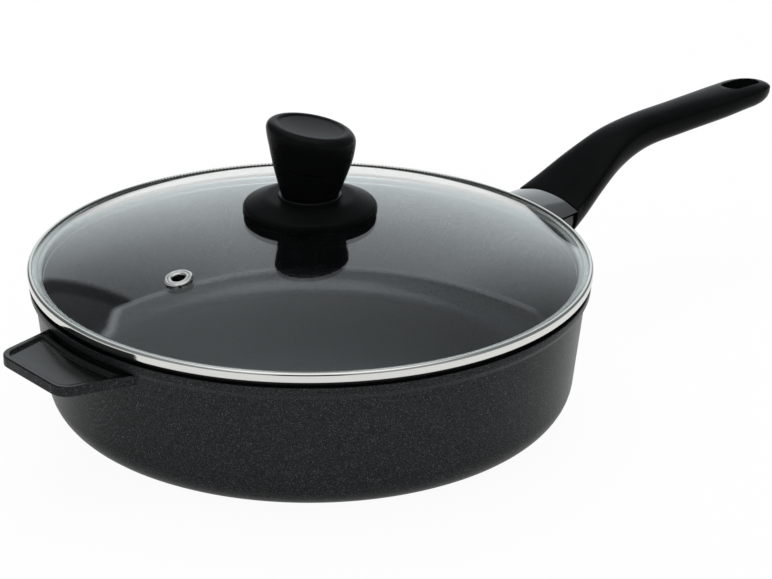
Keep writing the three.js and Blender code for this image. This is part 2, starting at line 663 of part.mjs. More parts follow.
const lid = new THREE.Group();
lid.name = 'lid';
lid.position.z = PAN_HEIGHT + SEAT_GAP;
const vent = new THREE.Group();
vent.applyMatrix4(ventMatrix);
vent.add(
  piece('vent_eyelet', ventEyelet, 0xd0d1d2, 0.2, 1),
  piece('vent_washer', ventWasher, 0xc4c5c7, 0.25, 1),
);
const knob = new THREE.Group();
knob.position.z = apex;
knob.rotation.z = KNOB_TURN * deg;
knob.add(
  piece('knob_skirt', knobSkirt, 0x1d1e20, 0.55, 0),
  piece('knob_stem', skin(knobStem), 0x161719, 0.6, 0),
  piece('knob_cap', skin(knobCap), 0x1a1b1d, 0.6, 0),
  piece('knob_insert', knobInsert, 0xb08d45, 0.35, 1),
  piece('knob_screw', knobScrew, 0xb4b6b8, 0.3, 1),
  piece('knob_washer', knobWasher, 0xc4c5c7, 0.3, 1),
  piece('knob_gasket_upper', gasketUpper, 0x2a2a2c, 0.8, 0),
  piece('knob_gasket_lower', gasketLower, 0x2a2a2c, 0.8, 0),
);
lid.add(
  piece('lid_glass', skin(lidGlass), 0xdfe4e6, 0.03, 0, { transparent: true, opacity: 0.3 }),
  piece('lid_band', lidBand, 0xcfd0d2, 0.2, 1),
  vent,
  knob,
);

const assembly = new THREE.Group();
assembly.name = 'frying_pan_with_lid';
assembly.add(pan, lid);

export default assembly;
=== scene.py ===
"""Deep frying pan with a glass lid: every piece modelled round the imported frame, in metres, +Z up.

The long grip points along +X and the helper handle along -X. Lengths below are in millimetres.
"""
import math

import bmesh
import bpy
from mathutils import Matrix, Vector


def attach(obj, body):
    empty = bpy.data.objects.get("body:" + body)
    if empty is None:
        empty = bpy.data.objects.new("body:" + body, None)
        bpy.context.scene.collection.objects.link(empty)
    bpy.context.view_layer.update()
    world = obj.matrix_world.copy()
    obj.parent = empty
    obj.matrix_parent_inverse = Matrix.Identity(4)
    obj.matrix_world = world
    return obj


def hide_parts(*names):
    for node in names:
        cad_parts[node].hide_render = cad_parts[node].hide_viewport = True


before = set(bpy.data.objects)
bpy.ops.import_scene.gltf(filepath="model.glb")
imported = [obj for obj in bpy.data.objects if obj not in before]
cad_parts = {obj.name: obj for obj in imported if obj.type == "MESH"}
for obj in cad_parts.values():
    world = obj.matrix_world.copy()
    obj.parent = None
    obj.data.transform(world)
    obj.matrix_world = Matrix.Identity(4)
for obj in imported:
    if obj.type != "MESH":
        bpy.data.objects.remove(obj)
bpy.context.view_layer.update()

MM = 0.001

# Pan
RIM_R = 143.2
PAN_HEIGHT = 72.3
RIM_FACE = 6.2
RIM_LEAN = 0.4
RIM_UNDERCUT = 3.0
RIM_STAND_OUT = 2.8
RIM_ROUND = 2.6
REBATE = 2.2
REBATE_IN = 3.3
WALL_DRAFT = math.radians(5.8)
WALL = 3.6
FLOOR = 5.4
BASE_CORNER_R = 19.0
FLOOR_CORNER_R = 16.0
PLATE_R = 95.0
PLATE = 1.2
PLATE_PLAY = 0.3
PLATE_EDGE = 0.3
PLATE_CENTRE_R = 6.0
PLATE_RINGS = 11
RING_START = 5.0
RING_PITCH = 7.5
RING_DEPTH = 0.35
RING_SLOPE = 0.5
RING_FLAT = 0.8

# Helper handle
HELPER_TIP = 171.7
HELPER_TOP = 63.8
HELPER = 5.4
HELPER_ROOT_HALF = 36.6
HELPER_ROOT_X = 131.9
HELPER_TIP_HALF = 26.9
HELPER_CORNER_R = 10.0
HELPER_BURIED = 1.8
HELPER_BURIED_HALF = 36.0
HELPER_EDGE = 0.6
TRAY_RIM = 2.9
TRAY_DEPTH = 1.5
RIB_R = 144.1
RIB = 2.8
RIB_HALF = 29.5
RIB_STEPS = 40
GROOVE_DEPTH = 2.2
PIN_X, PIN_Y = -145.6, 27.4
PIN_R = 1.4
PIN = 0.8
PIN_RIM = 0.5
PIN_DIP = 0.35
PIN_EDGE = 0.12

# Grip stations: distance along +X, half width, side crease, crown above it, depth below it
GRIP_STATIONS = (
    (170.2, 22.9, 67.4, 4.3, 21.9),
    (182.0, 20.9, 73.2, 5.0, 20.4),
    (198.0, 17.6, 82.1, 5.6, 18.2),
    (218.0, 13.5, 91.4, 6.1, 16.4),
    (240.0, 11.5, 95.9, 5.6, 13.6),
    (270.0, 12.0, 97.0, 5.7, 12.3),
    (305.0, 13.4, 98.7, 4.6, 12.1),
    (325.0, 13.4, 100.1, 3.2, 12.0),
)
GRIP_EDGE = 0.7
GRIP_EDGE_STEPS = 4
GRIP_STEPS = 48
TAIL_STEPS = 14
TAIL_CLOSE = 0.985
TAIL_DIP = 3.6
TAIL_END = 348.0
CROWN_POWER = 2.2
CROWN_EASE = 0.62
BELLY_POWER = 2.4
TAIL_POWER = 0.7
HOLE_X = 326.2
HOLE_LENGTH = 26.0
HOLE_WIDTH = 12.0
HOLE_FLARE = 1.5
HOLE_EASE = 1.4
HOLE_TOP = 103.6
HOLE_FOOT = 88.6
HOLE_FOOT_DROP = 0.6
HOLE_PAST = 3.0
HOLE_PAST_FLARE = 2.4

# Flame guard
GRIP_FRONT = 170.2
GUARD_HALF = 22.9
GUARD_CREASE = 67.4
GUARD_CROWN = 4.4
GUARD_DEPTH = 20.7
GUARD_INSET = 1.9
GUARD_DROP = 2.0
GUARD_FLARE = 2.4
GUARD_LIP = 0.4
GUARD_GROOVE = 2.3
GUARD_GROOVE_IN = 1.6
GUARD_STEPS = 20
GUARD_EDGE = 0.3

# Tang and the screw through the grip
TANG_RISE = math.radians(31.0)
TANG_START = (170.2, 0.0, 59.1)
SCREW_AT = 27.0
SCREW_HEAD_R = 4.5
SCREW_HEAD = 2.6
SCREW_HEAD_RIM = 1.0
SCREW_HEAD_ROUND = 1.0
SCREW_R = 2.2
SCREW_END = 3.0
SCREW_RECESS_PLAY = 0.6
SCREW_RECESS_REACH = 40.0
WASHER_TOP = -5.4
SPRING = 1.1
CROSS = (5.2, 1.0, 2.8)
CROSS_LIFT = 0.4
CROSS_TAPER = 0.6

# Lid
LID_Z = 72.6
BAND_R = 144.0
BAND = 0.6
BAND_BEND = 1.4
BAND_LIP = 2.8
BAND_SHOULDER = 1.5
BAND_LEAN = 0.35
BAND_BEAD = 0.5
BAND_FOLD = 1.6
BAND_FLANGE = 8.8
BAND_SKIRT = 4.4
BAND_HEIGHT = 5.3
BAND_TEETH = 440
HEM = 0.8
HEM_DROP = 0.1
BEAD = 0.8
BEAD_NECK = 0.4
HEM_TOOTH = (0.9, 0.95, 0.48)
HEM_TOOTH_IN = 0.35
HEM_TOOTH_DROP = 0.3
HEM_TOOTH_TAPER = (0.3, 0.5, 1)
EDGE_TOOTH = (0.9, 1.1, 0.8)
EDGE_TOOTH_DROP = 0.1
GLASS = 3.5
GLASS_R = 142.5
GLASS_TOP = 4.4
GLASS_TURN_R = 140.3
GLASS_FILLET = 4.0
DOME_RISE = 26.1
DOME_R = (GLASS_TURN_R ** 2 + (GLASS_FILLET - DOME_RISE) ** 2 - GLASS_FILLET ** 2) / (2 * DOME_RISE)
APEX = GLASS_TOP + DOME_RISE
KNOB_BORE_R = 4.6

# Steam vent
VENT_R = 91.3
VENT_TURN = math.radians(186.6)
VENT_BORE_R = 4.6
VENT_TUBE_R = 4.2
VENT_SHEET = 0.9
VENT_FLANGE_R = 5.3
VENT_RING_R = 7.1
VENT_RING = 1.0
VENT_GROOVE_R = 5.4
VENT_GROOVE_HALF = 0.2
VENT_GROOVE = 0.35
VENT_INNER_DROP = 0.05
VENT_STEP_R = 5.6
VENT_STEP = 0.25
VENT_GAP = 0.1

# Knob
KNOB_TURN = math.radians(-34.3)
KNOB_SLOPE = math.radians(10.0)
KNOB_LEAN = 0.6
KNOB_LIFT = 0.7
SKIRT_R = 34.1
SKIRT_EDGE = 4.3
SKIRT_ROUND = 2.6
SKIRT_TOP = 8.3
SKIRT_WALL = 2.4
SKIRT_BEND = 7.0
SKIRT_BEND_R = 9.0
SKIRT_BEND_RISE = 0.25
COLLAR_R = 15.8
COLLAR = 1.2
COLLAR_FLARE = 0.5
COLLAR_RISE = 0.1
HUB_R = 11.0
HUB_FOOT = 1.8
HUB_BORE_R = 2.7
KNOB_FOOT_R = 14.6
KNOB_RIM_R = 22.9
KNOB_HEIGHT = 35.8
KNOB_FLANK = 31.2
FLANK_PULL = 22.5
SEAM_AT = 0.4
SEAM_GAP = 0.2
KNOB_ROUND = 4.4
KNOB_EDGE = 0.5
DISH_R = 18.1
DISH_SLOPE = 2.2
DISH_EDGE = 0.9
DISH_DEPTH = 1.4
HOLLOW_SHARE = 0.88
LID_SCREW_R = 2.4
LID_SCREW_HEAD_R = 5.0
LID_SCREW_HEAD = 3.0
LID_SCREW_RIM = 1.1
LID_SCREW_ROUND = 1.2
LID_SCREW_REACH = 9.0
LID_WASHER_R = 12.0
LID_WASHER = 1.0
LID_SEAL = 1.5
KNOB_Z = LID_Z + APEX + KNOB_LIFT

# Gap between seated pieces, reach of a cutting tool past the piece, slack when faces are picked
SEAT_GAP = 0.3
PAST = 1.0
SLACK = 0.1

WIDE_STEPS = 256
KNOB_STEPS = 96
SMALL_STEPS = 48


# Ways of making. Lengths handed to Blender are in metres

def put_down():
    """Out of edit mode, with nothing selected."""
    if bpy.context.object and bpy.context.object.mode == "EDIT":
        bpy.ops.object.mode_set(mode="OBJECT")
    bpy.ops.object.select_all(action="DESELECT")


def take_up(piece):
    """The piece alone selected and active."""
    put_down()
    piece.select_set(True)
    bpy.context.view_layer.objects.active = piece
    return piece


def started(name):
    """The primitive that was just added, named and in edit mode."""
    piece = bpy.context.object
    piece.name = piece.data.name = name
    bpy.ops.object.transform_apply(location=True, rotation=True, scale=True)
    bpy.ops.object.mode_set(mode="EDIT")
    return piece


def pick(wanted):
    """Selects the points of the piece in edit mode that are wanted by their place."""
    mesh = bmesh.from_edit_mesh(bpy.context.object.data)
    for point in mesh.verts:
        point.select_set(bool(wanted(point.co)))
    mesh.select_flush(True)
    bmesh.update_edit_mesh(bpy.context.object.data)


def rounded(corners, closed=False):
    """Points along a line of (across, up, radius) corners, each corner rounded to its radius."""
    points = []
    for i, (across, up, radius) in enumerate(corners):
        here = Vector((across, up))
        if not radius or (not closed and i in (0, len(corners) - 1)):
            points.append(here)
            continue
        before = (Vector(corners[i - 1][:2]) - here).normalized()
        after = (Vector(corners[(i + 1) % len(corners)][:2]) - here).normalized()
        half = before.angle(after) / 2
        middle = here + (before + after).normalized() * radius / math.sin(half)
        start = here + before * radius / math.tan(half) - middle
        end = here + after * radius / math.tan(half) - middle
        first = math.atan2(start.y, start.x)
        swing = (math.atan2(end.y, end.x) - first + math.pi) % (2 * math.pi) - math.pi
        steps = max(2, min(16, round(abs(swing) * (2.5 + radius ** 0.6))))
        for k in range(steps + 1):
            angle = first + swing * k / steps
            points.append(middle + radius * Vector((math.cos(angle), math.sin(angle))))
    return points


def arc(across, up, radius, start, end, steps):
    """Points on an arc, angles in degrees."""
    return [
        Vector((across + radius * math.cos(a), up + radius * math.sin(a)))
        for a in (math.radians(start + (end - start) * k / steps) for k in range(steps + 1))
    ]


def drawn(name, points):
    """A line drawn on from point to point, left in edit mode."""
    put_down()
    bpy.ops.mesh.primitive_plane_add(size=MM)
    piece = started(name)
    bpy.ops.mesh.merge(type="CENTER")
    bpy.ops.transform.translate(value=points[0] * MM)
    for a, b in zip(points, points[1:]):
        bpy.ops.mesh.extrude_vertices_move(TRANSFORM_OT_translate={"value": (b - a) * MM})
    bpy.ops.mesh.select_all(action="SELECT")
    bpy.ops.mesh.remove_doubles(threshold=1e-7)
    return piece


def closed_up(piece, smooth=32):
    """Seams and poles merged, faces turned outwards, edges under the angle smoothed."""
    bpy.ops.mesh.select_all(action="SELECT")
    bpy.ops.mesh.remove_doubles(threshold=1e-6)
    bpy.ops.mesh.normals_make_consistent(inside=False)
    return smoothed(piece, smooth)


def smoothed(piece, angle=32):
    """Shaded smooth, with edges over the angle kept sharp."""
    take_up(piece)
    bpy.ops.object.shade_smooth_by_angle(angle=math.radians(angle))
    return piece


def turned(name, section, steps=WIDE_STEPS, ring=False):
    """A section of (radius, height) points spun about the upright axis."""
    points = [Vector((p[0], 0, p[1])) for p in section]
    piece = drawn(name, points + points[:1] if ring else points)
    bpy.ops.mesh.select_all(action="SELECT")
    bpy.ops.mesh.spin(steps=steps, angle=2 * math.pi, center=(0, 0, 0), axis=(0, 0, 1))
    return closed_up(piece)


def slab(name, outline, low, high):
    """A flat outline filled and raised."""
    points = [Vector((p[0], p[1], low)) for p in outline]
    piece = drawn(name, points + points[:1])
    bpy.ops.mesh.edge_face_add()
    bpy.ops.mesh.extrude_region_move(TRANSFORM_OT_translate={"value": (0, 0, (high - low) * MM)})
    return closed_up(piece)


def applied(piece, kind, **settings):
    """A modifier put on the piece and applied."""
    take_up(piece)
    step = piece.modifiers.new(kind.lower(), kind)
    for key, value in settings.items():
        setattr(step, key, value)
    bpy.ops.object.modifier_apply(modifier=step.name)
    return piece


def cut(piece, *tools):
    """The piece less its tools, which are used up."""
    for tool in tools:
        applied(piece, "BOOLEAN", operation="DIFFERENCE", solver="EXACT", object=tool)
        bpy.data.objects.remove(tool)
    return piece


def softened(piece, width, segments=3, angle=38):
    """Edges sharper than the angle rounded off."""
    applied(piece, "BEVEL", width=width * MM, segments=segments, limit_method="ANGLE",
            angle_limit=math.radians(angle), use_clamp_overlap=True)
    return smoothed(piece)


def placed(piece, place):
    """Moves a piece that was made at the origin to its place, in its mesh."""
    take_up(piece)
    piece.matrix_world = place
    bpy.ops.object.transform_apply(location=True, rotation=True, scale=True)
    return piece


def shift(x, y, z):
    """A move in millimetres."""
    return Matrix.Translation(Vector((x, y, z)) * MM)


def coated(piece, *finishes):
    """The piece with these finishes and no others."""
    piece.data.materials.clear()
    for finish in finishes:
        piece.data.materials.append(finish)


def fitted(piece, body, slot, finishes, *nodes):
    """The piece rides on its body, takes its finishes and stands for its nodes."""
    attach(piece, body)
    if nodes:
        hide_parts(*nodes)
    coated(piece, *finishes)
    return piece


def across_axis(point):
    """Distance from the upright axis, in millimetres."""
    return math.hypot(point.x, point.y) / MM


# Finishes

def new_finish(name, colour, roughness, metallic=0.0, **sockets):
    """A finish with its plain values, its node tree, and the place on the piece as its coordinates."""
    finish = bpy.data.materials.new(name)
    finish.use_nodes = True
    tree = finish.node_tree
    shader = tree.nodes["Principled BSDF"]
    shader.inputs["Base Color"].default_value = (*colour, 1.0)
    shader.inputs["Roughness"].default_value = roughness
    shader.inputs["Metallic"].default_value = metallic
    for socket, value in sockets.items():
        shader.inputs[socket.replace("_", " ")].default_value = value
    place = tree.nodes.new("ShaderNodeTexCoord").outputs["Object"]
    return finish, tree, shader, place


def add(tree, kind, links=(), **settings):
    """A node with its settings, and its inputs linked or set by name or number."""
    node = tree.nodes.new("ShaderNode" + kind)
    for key, value in settings.items():
        setattr(node, key, value)
    for socket, value in dict(links).items():
        if isinstance(value, bpy.types.NodeSocket):
            tree.links.new(value, node.inputs[socket])
        else:
            node.inputs[socket].default_value = value
    return node


def sums(tree, operation, a, b):
    """Two values joined by an operation."""
    return add(tree, "Math", {0: a, 1: b}, operation=operation).outputs[0]


def product(tree, value, *others):
    """Values multiplied together."""
    for other in others:
        value = sums(tree, "MULTIPLY", value, other)
    return value


def noise(tree, place, scale, detail=2.0, roughness=0.5):
    """Cloudy value between nothing and one."""
    return add(tree, "TexNoise", {"Vector": place, "Scale": scale, "Detail": detail,
                                  "Roughness": roughness}).outputs["Fac"]


def spread(tree, value, low, high, to_low, to_high):
    """A value moved from one range to another, and held inside it."""
    return add(tree, "MapRange", {"Value": value, "From Min": low, "From Max": high,
                                  "To Min": to_low, "To Max": to_high}).outputs["Result"]


def blended(tree, share, one, other):
    """Two colours mixed: all of the one where the share is nothing, all of the other where it is full."""
    return add(tree, "Mix", {0: share, 6: one, 7: other}, data_type="RGBA").outputs[2]


def raised(tree, shader, height, strength, depth):
    """Bump from a height, depth in millimetres."""
    bump = add(tree, "Bump", {"Height": height, "Strength": strength, "Distance": depth * MM})
    tree.links.new(bump.outputs["Normal"], shader.inputs["Normal"])


def grey(value, tint=0.0):
    """A grey, or with a tint a bluish one."""
    return (value * (1 - tint), value, value * (1 + tint), 1.0)


def flecked_coating(name, ground, fleck, share, roughness, level, metal=0.0, tint=0.03):
    """Non-stick coating: dark ground with a fine grain and two sizes of scattered metallic flecks."""
    finish, tree, shader, place = new_finish(name, (ground,) * 3, roughness, Specular_IOR_Level=level)
    fine, coarse = (3200.0, share, 0.6), (2300.0, share * 0.4, 1.0)
    flakes = []
    for scale, part, dim in (fine, coarse):
        cells = add(tree, "TexVoronoi", {"Vector": place, "Scale": scale, "Randomness": 1.0})
        lot = add(tree, "SeparateColor", {"Color": cells.outputs["Color"]})
        lit = sums(tree, "LESS_THAN", lot.outputs[0], part)
        near = spread(tree, cells.outputs["Distance"], 0.25, 0.5, dim, 0.0)
        bright = spread(tree, lot.outputs[1], 0.0, 1.0, 0.2, 1.0)
        flakes.append(product(tree, lit, near, bright))
    flake = sums(tree, "MAXIMUM", *flakes)
    grain = noise(tree, place, 1100.0, 3.0, 0.7)
    cloud = noise(tree, place, 22.0, 2.0)
    deep, mid, high = (grey(ground * share_of, tint) for share_of in (0.6, 1.2, 1.4))
    dark = blended(tree, spread(tree, grain, 0.3, 0.7, 0.0, 1.0), deep, high)
    dark = blended(tree, spread(tree, cloud, 0.3, 0.7, 0.0, 0.25), dark, mid)
    tree.links.new(blended(tree, flake, dark, grey(fleck, tint)), shader.inputs["Base Color"])
    tree.links.new(spread(tree, flake, 0.0, 1.0, metal, 0.8), shader.inputs["Metallic"])
    rough = spread(tree, grain, 0.25, 0.75, roughness - 0.05, roughness + 0.05)
    tree.links.new(rough, shader.inputs["Roughness"])
    raised(tree, shader, sums(tree, "ADD", grain, flake), 0.12, 0.1)
    return finish


def moulded_black(name, base, roughness, level):
    """Soft-touch black: a very fine even grain and a faint bloom."""
    finish, tree, shader, place = new_finish(name, (base,) * 3, roughness, Specular_IOR_Level=level)
    grain = noise(tree, place, 1600.0, 2.0, 0.6)
    cloud = noise(tree, place, 30.0, 3.0)
    deep, high = (grey(base * share, 0.04) for share in (0.75, 1.25))
    colour = blended(tree, spread(tree, cloud, 0.3, 0.7, 0.0, 1.0), deep, high)
    tree.links.new(colour, shader.inputs["Base Color"])
    rough = spread(tree, grain, 0.3, 0.7, roughness - 0.05, roughness + 0.05)
    tree.links.new(rough, shader.inputs["Roughness"])
    raised(tree, shader, grain, 0.1, 0.05)
    return finish


def guard_gloss(name, level, coat):
    """Smooth dark enamel with a slight orange peel."""
    finish, tree, shader, place = new_finish(
        name, (0.02, 0.021, 0.023), 0.14, Specular_IOR_Level=level, Coat_Weight=coat)
    cloud = noise(tree, place, 45.0, 3.0)
    peel = noise(tree, place, 420.0, 1.0)
    tree.links.new(blended(tree, cloud, grey(0.016, 0.04), grey(0.026, 0.04)), shader.inputs["Base Color"])
    tree.links.new(spread(tree, cloud, 0.3, 0.7, 0.1, 0.16), shader.inputs["Roughness"])
    raised(tree, shader, peel, 0.05, 0.05)
    return finish


def clear_glass():
    """Tempered glass: clear, with the slight waviness of its rollers and a breath of haze."""
    finish, tree, shader, place = new_finish(
        "tempered_glass", (0.96, 0.98, 0.975), 0.0, Transmission_Weight=1.0, IOR=1.5)
    wave = noise(tree, place, 9.0, 1.0)
    haze = noise(tree, place, 24.0, 3.0)
    tree.links.new(spread(tree, haze, 0.35, 0.8, 0.0, 0.003), shader.inputs["Roughness"])
    raised(tree, shader, wave, 0.012, 0.4)
    return finish


def polished_steel(name, level, roughness):
    """Rolled band: bright steel with fine lines round the lid and a little unevenness."""
    finish, tree, shader, place = new_finish(name, (level, level, level * 0.96), roughness, 1.0)
    height = add(tree, "SeparateXYZ", {"Vector": place}).outputs["Z"]
    radius = add(tree, "VectorMath", {0: place}, operation="LENGTH").outputs["Value"]
    along = sums(tree, "ADD", product(tree, height, 3.0), radius)
    lines = add(tree, "TexNoise", {"W": along, "Scale": 2600.0, "Detail": 2.0},
                noise_dimensions="1D").outputs["Fac"]
    cloud = noise(tree, place, 60.0, 2.0)
    dull, clean = ((level * share, level * share, level * share * 0.955, 1.0) for share in (0.96, 1.04))
    tree.links.new(blended(tree, cloud, dull, clean), shader.inputs["Base Color"])
    rough = spread(tree, cloud, 0.3, 0.7, roughness - 0.03, roughness + 0.03)
    tree.links.new(rough, shader.inputs["Roughness"])
    raised(tree, shader, lines, 0.05, 0.02)
    return finish


def turned_steel(name, colour, scale):
    """Plain steel or brass with turning marks round the pan's axis."""
    finish, tree, shader, place = new_finish(name, colour, 0.3, 1.0)
    flat = add(tree, "VectorMath", {0: place, 1: (1.0, 1.0, 0.0)}, operation="MULTIPLY").outputs["Vector"]
    radius = add(tree, "VectorMath", {0: flat}, operation="LENGTH").outputs["Value"]
    lines = add(tree, "TexNoise", {"W": radius, "Scale": scale, "Detail": 4.0, "Roughness": 0.7},
                noise_dimensions="1D").outputs["Fac"]
    dim = tuple(c * 0.75 for c in colour) + (1.0,)
    tree.links.new(blended(tree, lines, dim, (*colour, 1.0)), shader.inputs["Base Color"])
    tree.links.new(spread(tree, lines, 0.2, 0.8, 0.22, 0.42), shader.inputs["Roughness"])
    raised(tree, shader, lines, 0.25, 0.05)
    return finish


def silicone():
    """Matt black seal rubber."""
    finish, tree, shader, place = new_finish("black_silicone", (0.02, 0.02, 0.02), 0.6)
    grain = noise(tree, place, 900.0, 2.0)
    tree.links.new(blended(tree, grain, grey(0.014), grey(0.028)), shader.inputs["Base Color"])
    tree.links.new(spread(tree, grain, 0.3, 0.7, 0.5, 0.66), shader.inputs["Roughness"])
    raised(tree, shader, grain, 0.1, 0.05)
    return finish


OUTSIDE = flecked_coating("coating_outside", ground=0.0255, fleck=0.22, share=0.35, roughness=0.3, level=0.05)
INSIDE = flecked_coating("coating_inside", ground=0.07, fleck=0.24, share=0.09, roughness=0.3, level=0.3,
                         metal=0.85, tint=0.06)
# Darker copy of the pan's coating as painted shade: on the helper's tray and on the pan's rim under the lid's
# band, where shade falls
PAINTED_SHADE_COAT = flecked_coating("coating_painted_shade", ground=0.003, fleck=0.11, share=0.14, roughness=0.16, level=0.3)
# Copy of the coating, lighter than the tray's painted shade: a painted highlight along the helper's rib and on
# the ejector mark
RIB_HIGHLIGHT_COAT = flecked_coating("coating_rib_painted_highlight", ground=0.014, fleck=0.11, share=0.1, roughness=0.3, level=0.15)
BLACK = moulded_black("soft_touch_black", base=0.005, roughness=0.28, level=0.022)
# Lighter black on the knob's up-facing dish: painted light from above, its matte roughness its own
DISH_PAINTED_LIGHT = moulded_black("thumb_pad_painted_light", base=0.009, roughness=0.5, level=0.17)
COLLAR_BLACK = moulded_black("collar_black", base=0.005, roughness=0.4, level=0.35)
SKIRT_BLACK = moulded_black("skirt_black", base=0.0055, roughness=0.3, level=0.014)
# Lighter, glossier black on the cap's up-facing rim: a painted highlight
CAP_RIM_PAINTED_HIGHLIGHT = moulded_black("cap_rim_black_painted_highlight", base=0.006, roughness=0.3, level=0.045)
GUARD = guard_gloss("guard_gloss", level=1.0, coat=0.7)
GUARD_SIDE = guard_gloss("guard_side_gloss", level=0.5, coat=0.0)
CLEAR = clear_glass()
BRIGHT = polished_steel("polished_steel", level=0.71, roughness=0.1)
# Darker copy of the band's steel for the flange under the glass: painted shade
FLANGE_PAINTED_SHADE = polished_steel("flange_steel_painted_shade", level=0.45, roughness=0.16)
PLATE_STEEL = turned_steel("turned_plate_steel", colour=(0.52, 0.52, 0.53), scale=900.0)
SCREW_STEEL = turned_steel("screw_steel", colour=(0.5, 0.5, 0.5), scale=1500.0)
BRASS = turned_steel("insert_brass", colour=(0.45, 0.33, 0.14), scale=1500.0)
SEAL = silicone()


# Pan

def wall_r(z):
    """Radius of the wall's outside at a height."""
    top = PAN_HEIGHT - RIM_FACE - RIM_UNDERCUT
    return RIM_R - RIM_STAND_OUT + (z - top) * math.tan(WALL_DRAFT)


def inner_r(z):
    """Radius of the wall's inside at a height."""
    return wall_r(z) - WALL / math.cos(WALL_DRAFT)


def outside_corners(growth):
    """Corners of the pan's outside, from the base to the top of the rim."""
    top = PAN_HEIGHT - RIM_FACE - RIM_UNDERCUT
    return [
        (wall_r(0) + growth, 0, BASE_CORNER_R),
        (wall_r(top) + growth, top, 2.0),
        (RIM_R - RIM_LEAN + growth, top + RIM_UNDERCUT, 1.5),
        (RIM_R + growth, PAN_HEIGHT, RIM_ROUND),
    ]


def make_shell():
    """Cast shell with its thickened rim, rebated under the lid's band; the rim's top and the rebate are painted
    darker as shade.
    """
    lip = inner_r(PAN_HEIGHT)
    ledge = PAN_HEIGHT - REBATE
    shell = turned("pan_shell", rounded([
        (0, PLATE, 0),
        (PLATE_R + PLATE_PLAY, PLATE, 0),
        (PLATE_R + PLATE_PLAY, 0, 0.4),
        *outside_corners(0)[:3],
        (RIM_R, ledge, 0.4),
        (RIM_R - REBATE_IN, ledge + 0.2, 0.3),
        (RIM_R - REBATE_IN, PAN_HEIGHT, 0.4),
        (lip + 0.9, PAN_HEIGHT, 0.9),
        (inner_r(PAN_HEIGHT - RIM_ROUND), PAN_HEIGHT - RIM_ROUND, 1.2),
        (inner_r(FLOOR), FLOOR, FLOOR_CORNER_R),
        (0, FLOOR, 0),
    ]))
    fitted(shell, "pan", "coated_casting", (OUTSIDE, INSIDE, PAINTED_SHADE_COAT), "pan_body")
    for face in shell.data.polygons:
        z = face.center.z / MM
        inside = z > FLOOR - SLACK and across_axis(face.center) < inner_r(z) + PAST
        if inside and face.normal.z > -0.15:
            face.material_index = 1
        # The rim's top and the rebate under the band take the darker coat: painted shade
        elif z > ledge - SLACK / 2:
            face.material_index = 2


def helper_outline(inset):
    """Corners of the helper handle, its root inside the wall."""
    reach = HELPER_TIP - HELPER_ROOT_X
    lean = (HELPER_ROOT_HALF - HELPER_TIP_HALF) / reach
    root_x = -math.sqrt((wall_r(HELPER_TOP) - HELPER_BURIED) ** 2 - HELPER_BURIED_HALF ** 2)
    root_half = HELPER_TIP_HALF + lean * (HELPER_TIP + root_x) - inset
    radius = HELPER_CORNER_R - inset
    return [
        (root_x, -root_half, 0), (root_x, root_half, 0),
        (inset - HELPER_TIP, HELPER_TIP_HALF - inset, radius),
        (inset - HELPER_TIP, inset - HELPER_TIP_HALF, radius),
    ]


def curved_strip(inner, outer, half):
    """Outline of a strip that follows the wall on the helper's side."""
    start, end = (math.degrees(math.asin(half / r)) for r in (inner, outer))
    return (arc(0, 0, outer, 180 - end, 180 + end, RIB_STEPS)
            + arc(0, 0, inner, 180 + start, 180 - start, RIB_STEPS))


def make_helper():
    """Helper handle with a sunk tray, and a groove along the wall that leaves a rib between them; its faces that
    face up or down are painted darker as shade, the rib's top lighter as a highlight.
    """
    helper = slab("helper_handle", rounded(helper_outline(0), closed=True), HELPER_TOP - HELPER, HELPER_TOP)
    tray = slab("tray_tool", rounded(helper_outline(TRAY_RIM), closed=True),
                HELPER_TOP - TRAY_DEPTH, HELPER_TOP + PAST)
    keep = turned("rib_tool", [(0, 0), (RIB_R + RIB, 0), (RIB_R + RIB, LID_Z), (0, LID_Z)])
    cut(tray, keep)
    groove = slab("groove_tool", curved_strip(wall_r(HELPER_TOP) - PAST, RIB_R, RIB_HALF),
                  HELPER_TOP - GROOVE_DEPTH, HELPER_TOP + PAST)
    cut(helper, tray, groove)
    softened(helper, HELPER_EDGE)
    fitted(helper, "pan", "coated_casting", (PAINTED_SHADE_COAT, OUTSIDE, RIB_HIGHLIGHT_COAT))
    for face in helper.data.polygons:
        middle = face.center / MM
        on_rib = RIB_R - SLACK < across_axis(face.center) < RIB_R + RIB + SLACK and abs(middle.y) < RIB_HALF
        # Rib's top: painted highlight; other faces facing up or down: painted shade; upright sides: the pan's
        # own coating
        if on_rib and middle.z > HELPER_TOP - HELPER_EDGE - SLACK:
            face.material_index = 2
        else:
            face.material_index = int(abs(face.normal.z) < 0.5)


def make_pin_mark():
    """Round mark that an ejector pin left in the tray, at the end of the rib."""
    tray_z = HELPER_TOP - TRAY_DEPTH
    put_down()
    bpy.ops.mesh.primitive_cylinder_add(vertices=32, radius=PIN_R * MM, depth=PIN * MM,
                                        location=(PIN_X * MM, PIN_Y * MM, tray_z * MM))
    mark = started("ejector_mark")
    pick(lambda p: p.z > tray_z * MM)
    bpy.ops.mesh.inset(thickness=PIN_RIM * MM)
    bpy.ops.transform.translate(value=(0, 0, -PIN_DIP * MM))
    closed_up(mark)
    softened(mark, PIN_EDGE)
    # The mark takes the rib's lighter coat: a painted highlight
    fitted(mark, "pan", "coated_casting", (RIB_HIGHLIGHT_COAT,))


